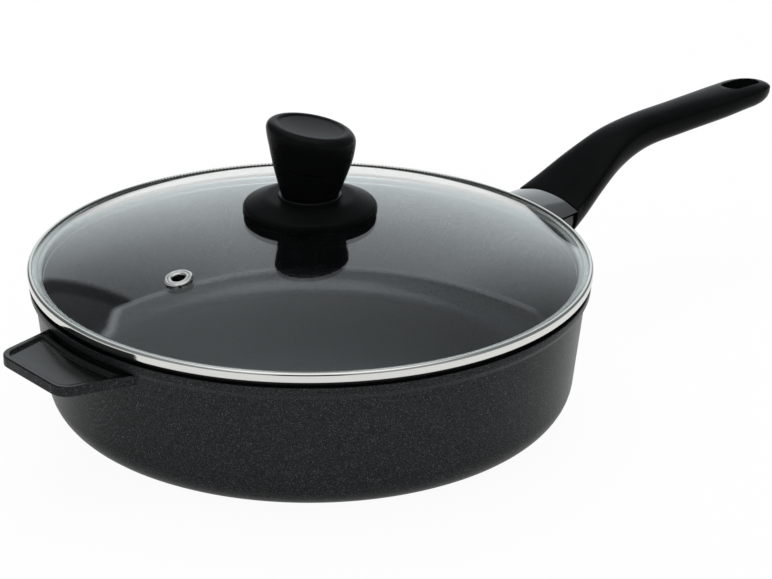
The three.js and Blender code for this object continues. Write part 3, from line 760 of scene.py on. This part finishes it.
def make_plate():
    """Steel disc in the underside, with turned rings."""
    section = [(0, PLATE), (PLATE_R, PLATE), (PLATE_R, PLATE_EDGE), (PLATE_R - PLATE_EDGE, 0)]
    for ring in range(PLATE_RINGS):
        outer = PLATE_R - RING_START - ring * RING_PITCH
        inner = outer - 2 * RING_SLOPE - RING_FLAT
        section += [(outer, 0), (outer - RING_SLOPE, RING_DEPTH), (inner + RING_SLOPE, RING_DEPTH), (inner, 0)]
    section += [(PLATE_CENTRE_R, 0), (0, 0)]
    fitted(turned("base_plate", section), "pan", "base_steel", (PLATE_STEEL,), "induction_plate")


# Grip and guard

def between(stations, x):
    """Values at x on a smooth line through the stations."""
    last = len(stations) - 2
    i = next((k for k in range(last + 1) if x <= stations[k + 1][0]), last)
    a, b = stations[i], stations[i + 1]
    before, after = stations[max(0, i - 1)], stations[min(last + 1, i + 2)]
    span = b[0] - a[0]
    t = (x - a[0]) / span
    values = []
    for k in range(1, len(a)):
        rise_a = (b[k] - before[k]) / (b[0] - before[0]) * span
        rise_b = (after[k] - a[k]) / (after[0] - a[0]) * span
        values.append(a[k] * (1 + 2 * t) * (1 - t) ** 2 + rise_a * t * (1 - t) ** 2
                      + b[k] * t * t * (3 - 2 * t) + rise_b * t * t * (t - 1))
    return values


def grip_section(x, half, crease, crown, depth, steps=16):
    """Arched top and rounded belly, as a closed line."""
    line = []
    for i in range(steps + 1):
        y = math.cos(math.pi * i / steps)
        line.append(Vector((x, half * y, crease + crown * (1 - abs(y) ** CROWN_POWER) ** CROWN_EASE)))
    for i in range(1, steps):
        angle = math.pi * i / steps
        side = math.copysign(abs(math.cos(angle)) ** (2 / BELLY_POWER), math.cos(angle))
        line.append(Vector((x, -half * side, crease - depth * math.sin(angle) ** (2 / BELLY_POWER))))
    return line + line[:1]


def grip_sizes():
    """Half width, crease, crown and depth along the grip: eased front edge, swept run, rounded tail."""
    sizes = []
    first = GRIP_STATIONS[0]
    for k in range(GRIP_EDGE_STEPS + 1):
        angle = math.pi / 2 * k / GRIP_EDGE_STEPS
        ease = GRIP_EDGE * (1 - math.sin(angle))
        x = first[0] + GRIP_EDGE * (1 - math.cos(angle))
        half, crease, crown, depth = between(GRIP_STATIONS, x)
        sizes.append((x, half - ease, crease, crown - ease * 0.5, depth - ease))
    start_x, tail_x = first[0] + GRIP_EDGE, GRIP_STATIONS[-1][0]
    for k in range(1, GRIP_STEPS + 1):
        x = start_x + (tail_x - start_x) * k / GRIP_STEPS
        sizes.append((x, *between(GRIP_STATIONS, x)))
    half, crease, crown, depth = GRIP_STATIONS[-1][1:]
    for k in range(1, TAIL_STEPS + 1):
        angle = math.pi / 2 * min(k / TAIL_STEPS, TAIL_CLOSE)
        shrink = math.cos(angle)
        full = shrink ** TAIL_POWER
        sizes.append((tail_x + (TAIL_END - tail_x) * math.sin(angle), half * shrink,
                      crease - TAIL_DIP * (1 - full), crown * full, depth * full))
    return sizes


def stretch(x, crease, wide, up):
    """Stretches what is selected across the grip and upwards from its crease."""
    bpy.ops.transform.resize(value=(1, wide, up), center_override=(x * MM, 0, crease * MM))


def make_grip():
    """Grip drawn out from its front section, ring by ring, then pierced for the hook and the screw."""
    sizes = grip_sizes()
    grip = drawn("handle_grip_soft", grip_section(*sizes[0]))
    bpy.ops.mesh.edge_face_add()
    for old, new in zip(sizes, sizes[1:]):
        (x0, half0, crease0, crown0, depth0), (x, half, crease, crown, depth) = old, new
        bpy.ops.mesh.extrude_region_move(
            TRANSFORM_OT_translate={"value": ((x - x0) * MM, 0, (crease - crease0) * MM)})
        stretch(x, crease, half / half0, 1)
        pick(lambda p: abs(p.x - x * MM) < 1e-5 and p.z > crease * MM + 1e-6)
        stretch(x, crease, 1, crown / crown0)
        pick(lambda p: abs(p.x - x * MM) < 1e-5 and p.z < crease * MM - 1e-6)
        stretch(x, crease, 1, depth / depth0)
        pick(lambda p: abs(p.x - x * MM) < 1e-5)
    closed_up(grip, 40)
    recess_r = SCREW_HEAD_R + SCREW_RECESS_PLAY
    recess = turned("recess_tool", [(0, -SCREW_RECESS_REACH), (recess_r, -SCREW_RECESS_REACH),
                                    (recess_r, WASHER_TOP), (0, WASHER_TOP)], SMALL_STEPS)
    cut(grip, make_hanging_hole(), placed(recess, screw_place()))
    smoothed(grip, 40)
    fitted(grip, "pan", "soft_touch", (BLACK,), "handle_grip")


def make_hanging_hole():
    """The tool for the hole: a long slot that flares at both ends."""
    straight = (HOLE_LENGTH - HOLE_WIDTH) / 2
    levels = [(HOLE_FOOT - HOLE_PAST, HOLE_PAST_FLARE)]
    quarter = [math.radians(degrees) for degrees in range(0, 91, 15)]
    for rise in map(math.sin, quarter):
        levels.append((HOLE_FOOT - HOLE_FOOT_DROP + HOLE_FLARE * rise, HOLE_FLARE * (1 - rise) ** HOLE_EASE))
    for drop in map(math.cos, quarter):
        levels.append((HOLE_TOP - HOLE_FLARE * drop, HOLE_FLARE * (1 - drop) ** HOLE_EASE))
    levels.append((HOLE_TOP + HOLE_PAST, HOLE_PAST_FLARE))
    end = HOLE_WIDTH / 2
    put_down()
    bpy.ops.mesh.primitive_circle_add(vertices=64, radius=end * MM, fill_type="NGON",
                                      location=(HOLE_X * MM, 0, levels[0][0] * MM))
    tool = started("hanging_hole_tool")
    pick(lambda p: p.x > HOLE_X * MM + 1e-7)
    bpy.ops.transform.translate(value=(straight * MM, 0, 0))
    pick(lambda p: p.x < HOLE_X * MM - 1e-7)
    bpy.ops.transform.translate(value=(-straight * MM, 0, 0))
    bpy.ops.mesh.select_all(action="SELECT")
    length, width = straight + end, end
    height, grow = levels[0][0], 0.0

    def widen(z, wanted):
        """Grows the ring that is selected by what is wanted all round."""
        nonlocal grow
        longer, wider = ((size + wanted) / (size + grow) for size in (length, width))
        bpy.ops.transform.resize(value=(longer, wider, 1), center_override=(HOLE_X * MM, 0, z * MM))
        grow = wanted

    widen(*levels[0])
    for z, wanted in levels[1:]:
        bpy.ops.mesh.extrude_region_move(TRANSFORM_OT_translate={"value": (0, 0, (z - height) * MM)})
        widen(z, wanted)
        height = z
    return closed_up(tool)


def screw_place():
    """From the origin to the screw's place in the tang, square to it."""
    return shift(*TANG_START) @ Matrix.Rotation(-TANG_RISE, 4, "Y") @ shift(SCREW_AT, 0, 0)


def cross_tools(low):
    """Two tapered bars that cut a cross recess."""
    tools = []
    for name, turn in (("cross_tool_a", 0.0), ("cross_tool_b", math.pi / 2)):
        put_down()
        bpy.ops.mesh.primitive_cube_add(size=1, location=(0, 0, (low + CROSS_LIFT) * MM), rotation=(0, 0, turn),
                                        scale=[side * MM for side in CROSS])
        tool = started(name)
        pick(lambda p: p.z > low * MM)
        bpy.ops.transform.resize(value=(CROSS_TAPER, CROSS_TAPER, 1), center_override=(0, 0, 0))
        tools.append(closed_up(tool))
    return tools


def cross_screw(name, head, sizes, end):
    """Screw that points up from under its head, with a cross recess below."""
    head_r, head_height, rim, rounding, shank_r = sizes
    low = head - head_height
    screw = turned(name, rounded([
        (0, low, 0), (head_r * 0.8, low, rounding), (head_r, head - rim, 0.8), (head_r, head, 0.1),
        (shank_r, head, 0), (shank_r, end, 0.3), (0, end, 0),
    ]), SMALL_STEPS)
    cut(screw, *cross_tools(low))
    return smoothed(screw)


def make_grip_screw():
    """Screw up through the grip into the tang."""
    sizes = SCREW_HEAD_R, SCREW_HEAD, SCREW_HEAD_RIM, SCREW_HEAD_ROUND, SCREW_R
    screw = cross_screw("grip_screw", WASHER_TOP - SPRING, sizes, SCREW_END)
    fitted(placed(screw, screw_place()), "pan", "fastener_steel", (SCREW_STEEL,), "handle_screw")


def guard_section(x, share):
    """Arched top plate with an edge, a groove under it, and a recessed rounded body."""
    half = GUARD_HALF + GUARD_FLARE * share
    crease = GUARD_CREASE - GUARD_DROP * share
    panel = half - GUARD_INSET
    under = GUARD_LIP + GUARD_GROOVE
    depth = GUARD_DEPTH - GUARD_DROP * share
    line = []
    for i in range(GUARD_STEPS + 1):
        y = math.cos(math.pi * i / GUARD_STEPS)
        line.append(Vector((x, half * y, crease + GUARD_CROWN * (1 - abs(y) ** CROWN_POWER))))
    bottom = panel - GUARD_GROOVE_IN
    edge = [(half, GUARD_LIP), (bottom, GUARD_LIP), (bottom, under), (panel, under)]
    line += [Vector((x, -y, crease - drop)) for y, drop in edge]
    for i in range(1, GUARD_STEPS):
        angle = math.pi * i / GUARD_STEPS
        side = math.copysign(abs(math.cos(angle)) ** (2 / BELLY_POWER), math.cos(angle))
        fall = math.sin(angle) ** (2 / BELLY_POWER)
        line.append(Vector((x, -panel * side, crease - under - (depth - under) * fall)))
    line += [Vector((x, y, crease - drop)) for y, drop in reversed(edge)]
    return line + line[:1]


def make_guard():
    """Glossy sleeve between the pan and the grip, its end fitted to the wall; the groove under its top plate is
    painted black as shade.
    """
    front, back = GRIP_FRONT - SEAT_GAP, wall_r(0) - WALL
    guard = drawn("flame_guard_gloss", guard_section(front, 0))
    bpy.ops.mesh.edge_face_add()
    bpy.ops.mesh.extrude_region_move(
        TRANSFORM_OT_translate={"value": ((back - front) * MM, 0, -GUARD_DROP * MM)})
    flare = (GUARD_HALF + GUARD_FLARE) / GUARD_HALF
    bpy.ops.transform.resize(value=(1, flare, 1), center_override=(0, 0, 0))
    closed_up(guard)
    corners = outside_corners(SEAT_GAP)
    below = -5 * PAST
    cut(guard, turned("pan_tool", rounded([
        (0, below, 0), (corners[0][0], below, 0), *corners, (0, PAN_HEIGHT, 0)])))
    softened(guard, GUARD_EDGE)
    fitted(guard, "pan", "guard_enamel", (GUARD, GUARD_SIDE, BLACK), "flame_guard")
    for face in guard.data.polygons:
        middle = face.center / MM
        share = (front - middle.x) / (front - back)
        drop = GUARD_CREASE - GUARD_DROP * share - middle.z
        # Faces in the groove under the top plate: soft-touch black as painted shade
        if GUARD_LIP - SLACK < drop < GUARD_LIP + GUARD_GROOVE + SLACK:
            face.material_index = 2
        elif face.normal.z < 0.5:
            face.material_index = 1


# Lid

def dome_z(r, radius=DOME_R):
    """Height of the dome's outside, or of a sphere with its centre, at a distance from the axis."""
    return APEX - DOME_R + math.sqrt(radius ** 2 - r ** 2)


def dome_line(radius, fillet):
    """From the knob's hole over the dome and down its fillet to the flat rim."""
    end = math.degrees(math.asin(GLASS_TURN_R / (DOME_R + GLASS_FILLET)))
    start = math.degrees(math.asin(KNOB_BORE_R / radius))
    return (arc(0, APEX - DOME_R, radius, 90 - start, 90 - end, 26)
            + arc(GLASS_TURN_R, GLASS_TOP + GLASS_FILLET, fillet, 270 - end, 270, 10)[1:])


def vent_place():
    """From the origin to the vent's place on the dome, square to it."""
    tilt = math.asin(VENT_R / DOME_R)
    return (Matrix.Rotation(VENT_TURN, 4, "Z") @ shift(VENT_R, 0, LID_Z + dome_z(VENT_R))
            @ Matrix.Rotation(tilt, 4, "Y"))


def make_glass():
    """Domed glass with a ground edge, a bore for the knob and one for the vent."""
    edge = GLASS / 3
    line = (dome_line(DOME_R - GLASS, GLASS_FILLET + GLASS)
            + arc(GLASS_R - edge, GLASS_TOP - GLASS + edge, edge, -90, 0, 5)
            + arc(GLASS_R - edge, GLASS_TOP - edge, edge, 0, 90, 5)
            + dome_line(DOME_R, GLASS_FILLET)[::-1])
    glass = turned("glass_dome", [(p.x, p.y + LID_Z) for p in line], ring=True)
    low, high = -2 * GLASS, GLASS
    bore = turned("vent_tool", [(0, low), (VENT_BORE_R, low), (VENT_BORE_R, high), (0, high)], SMALL_STEPS)
    cut(glass, placed(bore, vent_place()))
    smoothed(glass)
    fitted(glass, "lid", "lid_glass", (CLEAR,), "lid_glass")


def make_band():
    """Rolled steel band: flange under the glass, outer face, lip over the glass with a hem of pressed teeth."""
    low, high = LID_Z, LID_Z + BAND_HEIGHT
    foot = low - BAND_SKIRT
    hem = BAND_R - BAND_LIP
    edge = BAND_R - BAND_FLANGE
    band = turned("steel_band", rounded([
        (edge - BAND_BEAD, foot, 0.25), (edge + BAND, foot, 0.25), (edge + BAND, low, BAND_FOLD - BAND),
        (BAND_R - BAND_LEAN, low, BAND_BEND), (BAND_R, high, BAND_SHOULDER),
        (hem + HEM, high - HEM_DROP, 0.6), (hem, high - BAND, 0.2), (hem + BAND, high - BAND, 0),
        (BAND_R - BAND, high - BAND, BAND_SHOULDER - BAND),
        (BAND_R - BAND_LEAN - BAND, low + BAND, BAND_BEND - BAND), (edge, low + BAND, BAND_FOLD),
        (edge, foot + BEAD + BEAD_NECK, 0.3), (edge - BAND_BEAD, foot + BEAD, 0.4),
    ], closed=True), ring=True)
    fitted(band, "lid", "band_steel", (BRIGHT, FLANGE_PAINTED_SHADE), "lid_band")
    # The flange under the glass takes the darker steel: painted shade
    for face in band.data.polygons:
        face.material_index = int(across_axis(face.center) < hem - 2 * SLACK)
    teeth = new_tooth("band_teeth", hem + HEM_TOOTH_IN, high - HEM_TOOTH_DROP, HEM_TOOTH)
    pick(lambda p: p.z > (high - HEM_TOOTH_DROP) * MM)
    bpy.ops.transform.resize(value=HEM_TOOTH_TAPER, center_override=((hem + HEM) * MM, 0, 0))
    spun_teeth(teeth)
    spun_teeth(new_tooth("band_edge_teeth", edge + BAND / 2, foot - EDGE_TOOTH_DROP, EDGE_TOOTH))


def new_tooth(name, radius, height, size):
    """One tooth, left in edit mode."""
    put_down()
    bpy.ops.mesh.primitive_cube_add(size=1, location=(radius * MM, 0, height * MM),
                                    scale=[side * MM for side in size])
    return started(name)


def spun_teeth(teeth):
    """The tooth in edit mode repeated round the lid."""
    bpy.ops.mesh.select_all(action="SELECT")
    bpy.ops.mesh.spin(steps=BAND_TEETH - 1, dupli=True, angle=2 * math.pi * (BAND_TEETH - 1) / BAND_TEETH,
                      center=(0, 0, 0), axis=(0, 0, 1))
    closed_up(teeth, 20)
    fitted(teeth, "lid", "band_steel", (BRIGHT,))


def make_vent():
    """Polished eyelet with a rolled, grooved edge, over a thin washer."""
    seat = 2 * VENT_GAP + VENT_STEP
    top = seat + VENT_RING
    under = -GLASS - SEAT_GAP
    bore = VENT_TUBE_R - VENT_SHEET
    eyelet = turned("vent_ring", rounded([
        (bore, under - VENT_SHEET, 0.2), (VENT_FLANGE_R, under - VENT_SHEET, 0.2), (VENT_FLANGE_R, under, 0.2),
        (VENT_TUBE_R, under, 0.1), (VENT_TUBE_R, seat, 0), (VENT_RING_R, seat, 0.3), (VENT_RING_R, top, 0.7),
        (VENT_GROOVE_R + VENT_GROOVE_HALF, top, 0.25), (VENT_GROOVE_R, top - VENT_GROOVE, 0.1),
        (VENT_GROOVE_R - VENT_GROOVE_HALF, top - VENT_INNER_DROP, 0.25), (bore, top - VENT_INNER_DROP, 0.9),
    ], closed=True), SMALL_STEPS, ring=True)
    fitted(placed(eyelet, vent_place()), "lid", "band_steel", (BRIGHT,), "vent_eyelet")
    inner, low, high = VENT_TUBE_R + SEAT_GAP, VENT_GAP, VENT_GAP + VENT_STEP
    washer = turned("vent_step", rounded([
        (inner, low, 0), (VENT_STEP_R, low, 0.1), (VENT_STEP_R, high, 0.1), (inner, high, 0),
    ], closed=True), SMALL_STEPS, ring=True)
    fitted(placed(washer, vent_place()), "lid", "band_steel", (BRIGHT,), "vent_washer")


# Knob, measured from its foot above the dome

def make_skirt():
    """Round finger guard under the knob, with a hub to the glass and a collar."""
    foot = dome_z(SKIRT_R) - APEX + SEAT_GAP
    shoulder = foot + SKIRT_EDGE
    collar = SKIRT_TOP - COLLAR
    hub_foot = HUB_FOOT - KNOB_LIFT
    top = SKIRT_TOP - COLLAR_RISE
    inner = SKIRT_R - SKIRT_WALL
    skirt = turned("knob_skirt_soft", [(p.x, p.y + KNOB_Z) for p in rounded([
        (HUB_BORE_R, hub_foot, 0), (HUB_R, hub_foot, 0.3), (HUB_R, collar - SKIRT_WALL, 0.8),
        (inner, shoulder - SKIRT_WALL, 1.0), (inner, foot, 0.3),
        (SKIRT_R, foot, 0.6), (SKIRT_R + 0.02, shoulder - 0.1, SKIRT_ROUND),
        (COLLAR_R + SKIRT_BEND, collar + SKIRT_BEND_RISE, SKIRT_BEND_R),
        (COLLAR_R + COLLAR_FLARE, collar + COLLAR_RISE, COLLAR_FLARE), (COLLAR_R, top, 1.0),
        (HUB_BORE_R, top, 0),
    ], closed=True)], KNOB_STEPS, ring=True)
    fitted(skirt, "lid", "soft_touch", (SKIRT_BLACK, COLLAR_BLACK), "knob_skirt")
    for face in skirt.data.polygons:
        ring = across_axis(face.center) < COLLAR_R + SLACK
        face.material_index = int(ring and face.center.z > (KNOB_Z + collar + 1.5 * SLACK) * MM)


def flank(share):
    """Radius and height on the knob's curved flank."""
    a, b, c = (1 - share) ** 2, 2 * share * (1 - share), share ** 2
    return (a * KNOB_FOOT_R + b * FLANK_PULL + c * KNOB_RIM_R, b * FLANK_PULL + c * KNOB_FLANK)


def stacked(name, rings):
    """Round rings of (radius, height) stacked up the knob, tipping to its low side as they rise."""
    def seat(height):
        """Tip and middle of the ring at a height."""
        share = min(1.0, max(0.0, height) / FLANK_PULL)
        return KNOB_SLOPE * share, Vector((KNOB_LEAN * share, 0, KNOB_Z + SKIRT_TOP + height)) * MM

    put_down()
    tip, middle = seat(rings[0][1])
    bpy.ops.mesh.primitive_circle_add(vertices=KNOB_STEPS, radius=rings[0][0] * MM, fill_type="NGON",
                                      location=middle, rotation=(0, tip, 0))
    piece = started(name)
    for (old_r, _), (radius, height) in zip(rings, rings[1:]):
        new_tip, new_middle = seat(height)
        bpy.ops.mesh.extrude_region_move(TRANSFORM_OT_translate={"value": new_middle - middle})
        bpy.ops.transform.resize(value=(radius / old_r,) * 3, center_override=new_middle)
        bpy.ops.transform.rotate(value=-(new_tip - tip), orient_axis="Y", center_override=new_middle)
        tip, middle = new_tip, new_middle
    closed_up(piece)
    return placed(piece, Matrix.Rotation(KNOB_TURN, 4, "Z"))


def make_knob():
    """Stem up to the seam, and above it the cap with its slanted, dished top; the cap's up-facing faces are
    painted lighter as light from above.
    """
    seam_r, seam_h = flank(SEAM_AT)
    stem = [(KNOB_FOOT_R - 0.7, 0.0), (KNOB_FOOT_R - 0.2, 0.15)]
    stem += [flank(0.02 + (SEAM_AT - 0.03) * k / 14) for k in range(15)]
    stem += [(seam_r - 0.1, seam_h - 0.1), (seam_r - KNOB_EDGE, seam_h)]
    fitted(stacked("knob_stem_soft", stem), "lid", "soft_touch", (BLACK,), "knob_stem")
    cap = [(seam_r - KNOB_EDGE, seam_h + SEAM_GAP), (seam_r + 0.05, seam_h + SEAM_GAP + 0.15)]
    cap += [flank(SEAM_AT + 0.04 + (1 - SEAM_AT - 0.04) * k / 16) for k in range(17)]
    cap += [tuple(p) for p in arc(KNOB_RIM_R - KNOB_ROUND, KNOB_HEIGHT - KNOB_ROUND, KNOB_ROUND, 6, 84, 12)]
    for s in (0.0, 0.15, 0.3, 0.45, 0.6, 0.75, 0.9):
        cap.append((DISH_R - DISH_SLOPE * s, KNOB_HEIGHT - DISH_EDGE * s * s * (3 - 2 * s)))
    for s in (0.86, 0.8, 0.7, 0.55, 0.35, 0.15, 0.03):
        cap.append((DISH_R * s, KNOB_HEIGHT - DISH_EDGE - DISH_DEPTH * (1 - (s / HOLLOW_SHARE) ** 2)))
    top = fitted(stacked("knob_cap_soft", cap), "lid", "soft_touch", (BLACK, DISH_PAINTED_LIGHT, CAP_RIM_PAINTED_HIGHLIGHT), "knob_cap")
    middle = Vector((0, 0, KNOB_Z + SKIRT_TOP + KNOB_HEIGHT)) * MM
    for face in top.data.polygons:
        # Up-facing dish: lighter black as painted light
        if (face.center - middle).length < (DISH_R - 2 * SLACK) * MM and face.normal.z > 0.9:
            face.material_index = 1
        # Other up-facing faces of the cap: painted highlight
        elif face.normal.z > 0.1:
            face.material_index = 2


def make_knob_fixing():
    """Screw and washer under the glass. The seals and the brass insert stay as they are."""
    seal_top = dome_z(HUB_R, DOME_R - GLASS) - SEAT_GAP
    head = LID_Z + seal_top - LID_SEAL - LID_WASHER
    sizes = LID_SCREW_HEAD_R, LID_SCREW_HEAD, LID_SCREW_RIM, LID_SCREW_ROUND, LID_SCREW_R
    screw = cross_screw("lid_screw", head, sizes, KNOB_Z + SKIRT_TOP + LID_SCREW_REACH)
    fitted(screw, "lid", "fastener_steel", (SCREW_STEEL,), "knob_screw")
    top = head + LID_WASHER
    washer = turned("lid_washer", rounded([
        (HUB_BORE_R, head, 0.1), (LID_WASHER_R, head, 0.3), (LID_WASHER_R, top, 0.3), (HUB_BORE_R, top, 0.1),
    ], closed=True), SMALL_STEPS, ring=True)
    fitted(washer, "lid", "fastener_steel", (SCREW_STEEL,), "knob_washer")
    coated(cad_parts["knob_gasket_upper"], SEAL)
    coated(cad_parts["knob_gasket_lower"], SEAL)
    coated(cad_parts["knob_insert"], BRASS)


# Studio, in metres. A direction is told by how far it goes behind the pan, aside to the camera's right, and up

BEHIND = (0.633, 0.774, 0.0)
ASIDE = (0.774, -0.633, 0.0)
PAPER_R = 9.0
PAPER_Z = -0.0005
PAPER_SHOWN = 0.955
PAPER_MIRRORED = 0.65
ROOM_TINT = (0.93, 1.0, 1.03)
LEAST = 0.02
LEAST_RISE = 0.03
SOFT_EDGE = 0.02

# Soft edges of what stands round the pan, as aside over behind: where each starts to show, where it ends
SHEET_SIDES = ((-0.45, -0.43), (0.3, 0.6))
STAND_SIDES = ((-0.492, -0.48), (-0.45, -0.43))
CAMERA_SIDES = ((-0.3, -0.2), (0.2, 0.3))

# Softbox and near lamp overhead, as behind or aside over height
BOX_FAR = 1.17
BOX_SKEW = 0.1
BOX_NEAR = (-1.3, -1.0)
BOX_LEFT = -0.56
BOX_RIGHT = (0.65, 0.67)
BOX_BORDER = 0.03
LAMP_DEPTH = ((-0.8, -0.6), (0.2, 0.4))
LAMP_SIDES = ((-0.6, -0.45), (0.5, 0.65))

# Camera, in pixels of a picture 772 wide, and in millimetres
PICTURE = 772
FOCAL = 2400.0
SHIFT = (75.68, 0.5)
SENSOR = 36.0
CAMERA_AT = (-719.36, -879.512, 535.23)
CAMERA_RIGHT = (0.773168, -0.634193, -0.003349)
CAMERA_UP = (0.247543, 0.296919, 0.922259)


def make_floor():
    """White paper that shows as white and still takes the pan's shadow; from below it isn't there."""
    put_down()
    bpy.ops.mesh.primitive_circle_add(vertices=96, radius=PAPER_R, fill_type="NGON", location=(0, 0, PAPER_Z))
    floor = bpy.context.object
    floor.name = "studio_floor"
    paper, tree, shader, place = new_finish("white_paper", (0.86, 0.86, 0.86), 0.9)
    tint = noise(tree, place, 3.0, 2.0)
    tree.links.new(blended(tree, tint, grey(0.85), grey(0.87)), shader.inputs["Base Color"])
    rays = add(tree, "LightPath").outputs
    straight = sums(tree, "MAXIMUM", rays["Is Camera Ray"], rays["Is Transmission Ray"])
    mirrored = product(tree, rays["Is Glossy Ray"], PAPER_MIRRORED)
    seen = product(tree, sums(tree, "MAXIMUM", straight, mirrored), PAPER_SHOWN)
    glow = add(tree, "Emission", {"Color": (1, 1, 1, 1), "Strength": 1.0}).outputs[0]
    above = add(tree, "MixShader", {0: seen, 1: shader.outputs[0], 2: glow}).outputs[0]
    below = add(tree, "BsdfTransparent").outputs[0]
    side = add(tree, "NewGeometry").outputs["Backfacing"]
    shown = add(tree, "MixShader", {0: side, 1: above, 2: below})
    tree.links.new(shown.outputs[0], tree.nodes["Material Output"].inputs["Surface"])
    floor.data.materials.append(paper)


def held(tree, value, edges):
    """Full between two soft edges and nothing outside them."""
    rise, fall = edges
    return product(tree, spread(tree, value, *rise, 0.0, 1.0), spread(tree, value, *fall, 1.0, 0.0))


def part_along(tree, direction, axis):
    """How far a direction goes along an axis."""
    return add(tree, "VectorMath", {0: direction, 1: axis}, operation="DOT_PRODUCT").outputs["Value"]


def make_surround():
    """The room as metal and glass mirror it: sheet and stand behind the pan, dark round the camera,
    a softbox with a bright border and a near lamp overhead. The camera itself sees white.
    """
    world = bpy.data.worlds.new("studio")
    bpy.context.scene.world = world
    world.use_nodes = True
    tree = world.node_tree
    direction = add(tree, "TexCoord").outputs["Generated"]
    height = add(tree, "SeparateXYZ", {"Vector": direction}).outputs["Z"]
    behind, aside = part_along(tree, direction, BEHIND), part_along(tree, direction, ASIDE)
    swing = sums(tree, "DIVIDE", aside, sums(tree, "MAXIMUM", behind, LEAST))
    swing_back = sums(tree, "DIVIDE", aside, sums(tree, "MINIMUM", behind, -LEAST))
    lift = sums(tree, "MAXIMUM", height, LEAST_RISE)
    over, across = sums(tree, "DIVIDE", behind, lift), sums(tree, "DIVIDE", aside, lift)

    camera_side = product(tree, spread(tree, behind, -0.1, 0.0, 1.0, 0.0), held(tree, swing_back, CAMERA_SIDES))
    room = blended(tree, camera_side, spread(tree, behind, -0.6, 0.4, 0.36, 0.16), grey(0.02))
    unlit = product(tree, spread(tree, aside, 0.25, 0.45, 0.0, 1.0), spread(tree, behind, -0.2, 0.0, 0.0, 1.0))
    room = blended(tree, unlit, room, grey(0.22))

    back = spread(tree, behind, 0.0, 0.1, 0.0, 1.0)
    sheet = product(tree, back, held(tree, swing, SHEET_SIDES))
    stand = product(tree, back, held(tree, swing, STAND_SIDES))
    paper = product(tree, spread(tree, swing, -0.4, -0.15, 0.58, 0.97), spread(tree, over, 1.2, 2.8, 0.88, 1.04))
    room = blended(tree, stand, blended(tree, sheet, room, paper), grey(0.09))

    far = sums(tree, "SUBTRACT", sums(tree, "ADD", BOX_FAR, product(tree, across, BOX_SKEW)), over)
    reach = product(tree, spread(tree, over, *BOX_NEAR, 0.0, 1.0), spread(tree, height, 0.1, 0.2, 0.0, 1.0),
                    spread(tree, across, *BOX_RIGHT, 1.0, 0.0))
    border, cloth = (
        product(tree, reach, spread(tree, far, inset, inset + SOFT_EDGE, 0.0, 1.0),
                spread(tree, across, BOX_LEFT + inset, BOX_LEFT + inset + SOFT_EDGE, 0.0, 1.0))
        for inset in (0.0, BOX_BORDER))
    room = blended(tree, border, room, spread(tree, across, -0.1, 0.6, 1.2, 0.85))
    room = blended(tree, cloth, room, spread(tree, across, -0.2, 0.4, 0.57, 0.32))
    room = add(tree, "VectorMath", {0: room, 1: ROOM_TINT}, operation="MULTIPLY").outputs["Vector"]
    near_lamp = product(tree, held(tree, over, LAMP_DEPTH), held(tree, across, LAMP_SIDES))
    room = blended(tree, near_lamp, room, grey(1.3))

    seen = add(tree, "LightPath").outputs["Is Camera Ray"]
    backdrop = tree.nodes["Background"]
    tree.links.new(blended(tree, seen, room, grey(1.0)), backdrop.inputs["Color"])
    backdrop.inputs["Strength"].default_value = 1.0


def make_lamp(name, place, aim, size, watts):
    """Soft lamp that lights the pan and isn't mirrored in it."""
    lamp = bpy.data.lights.new(name, "AREA")
    lamp.shape = "RECTANGLE"
    lamp.size, lamp.size_y = size
    lamp.energy = watts
    holder = bpy.data.objects.new(name, lamp)
    bpy.context.scene.collection.objects.link(holder)
    holder.location = place
    holder.rotation_mode = "QUATERNION"
    holder.rotation_quaternion = (Vector(aim) - Vector(place)).to_track_quat("-Z", "Y")
    holder.visible_glossy = holder.visible_transmission = False


def make_camera():
    """Camera at the photo's viewing angle and framing."""
    lens = bpy.data.cameras.new("view")
    lens.sensor_width = SENSOR
    lens.lens = FOCAL / PICTURE * SENSOR
    lens.shift_x, lens.shift_y = (pixels / PICTURE for pixels in SHIFT)
    lens.clip_start, lens.clip_end = 0.05, 50.0
    camera = bpy.data.objects.new("view", lens)
    bpy.context.scene.collection.objects.link(camera)
    right, up = Vector(CAMERA_RIGHT), Vector(CAMERA_UP)
    turn = Matrix((right, up, right.cross(up))).transposed().to_4x4()
    camera.matrix_world = shift(*CAMERA_AT) @ turn
    bpy.context.scene.camera = camera


make_shell()
make_helper()
make_pin_mark()
make_plate()
make_guard()
make_grip()
make_grip_screw()
coated(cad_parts["handle_washer"], SCREW_STEEL)
make_glass()
make_band()
make_vent()
make_skirt()
make_knob()
make_knob_fixing()
make_floor()
make_surround()
make_lamp("overhead_softbox", place=(0.3, 0.5, 1.9), aim=(0, 0, 0.05), size=(1.6, 1.6), watts=22.0)
make_camera()
bpy.context.scene.view_settings.view_transform = "Standard"
put_down()
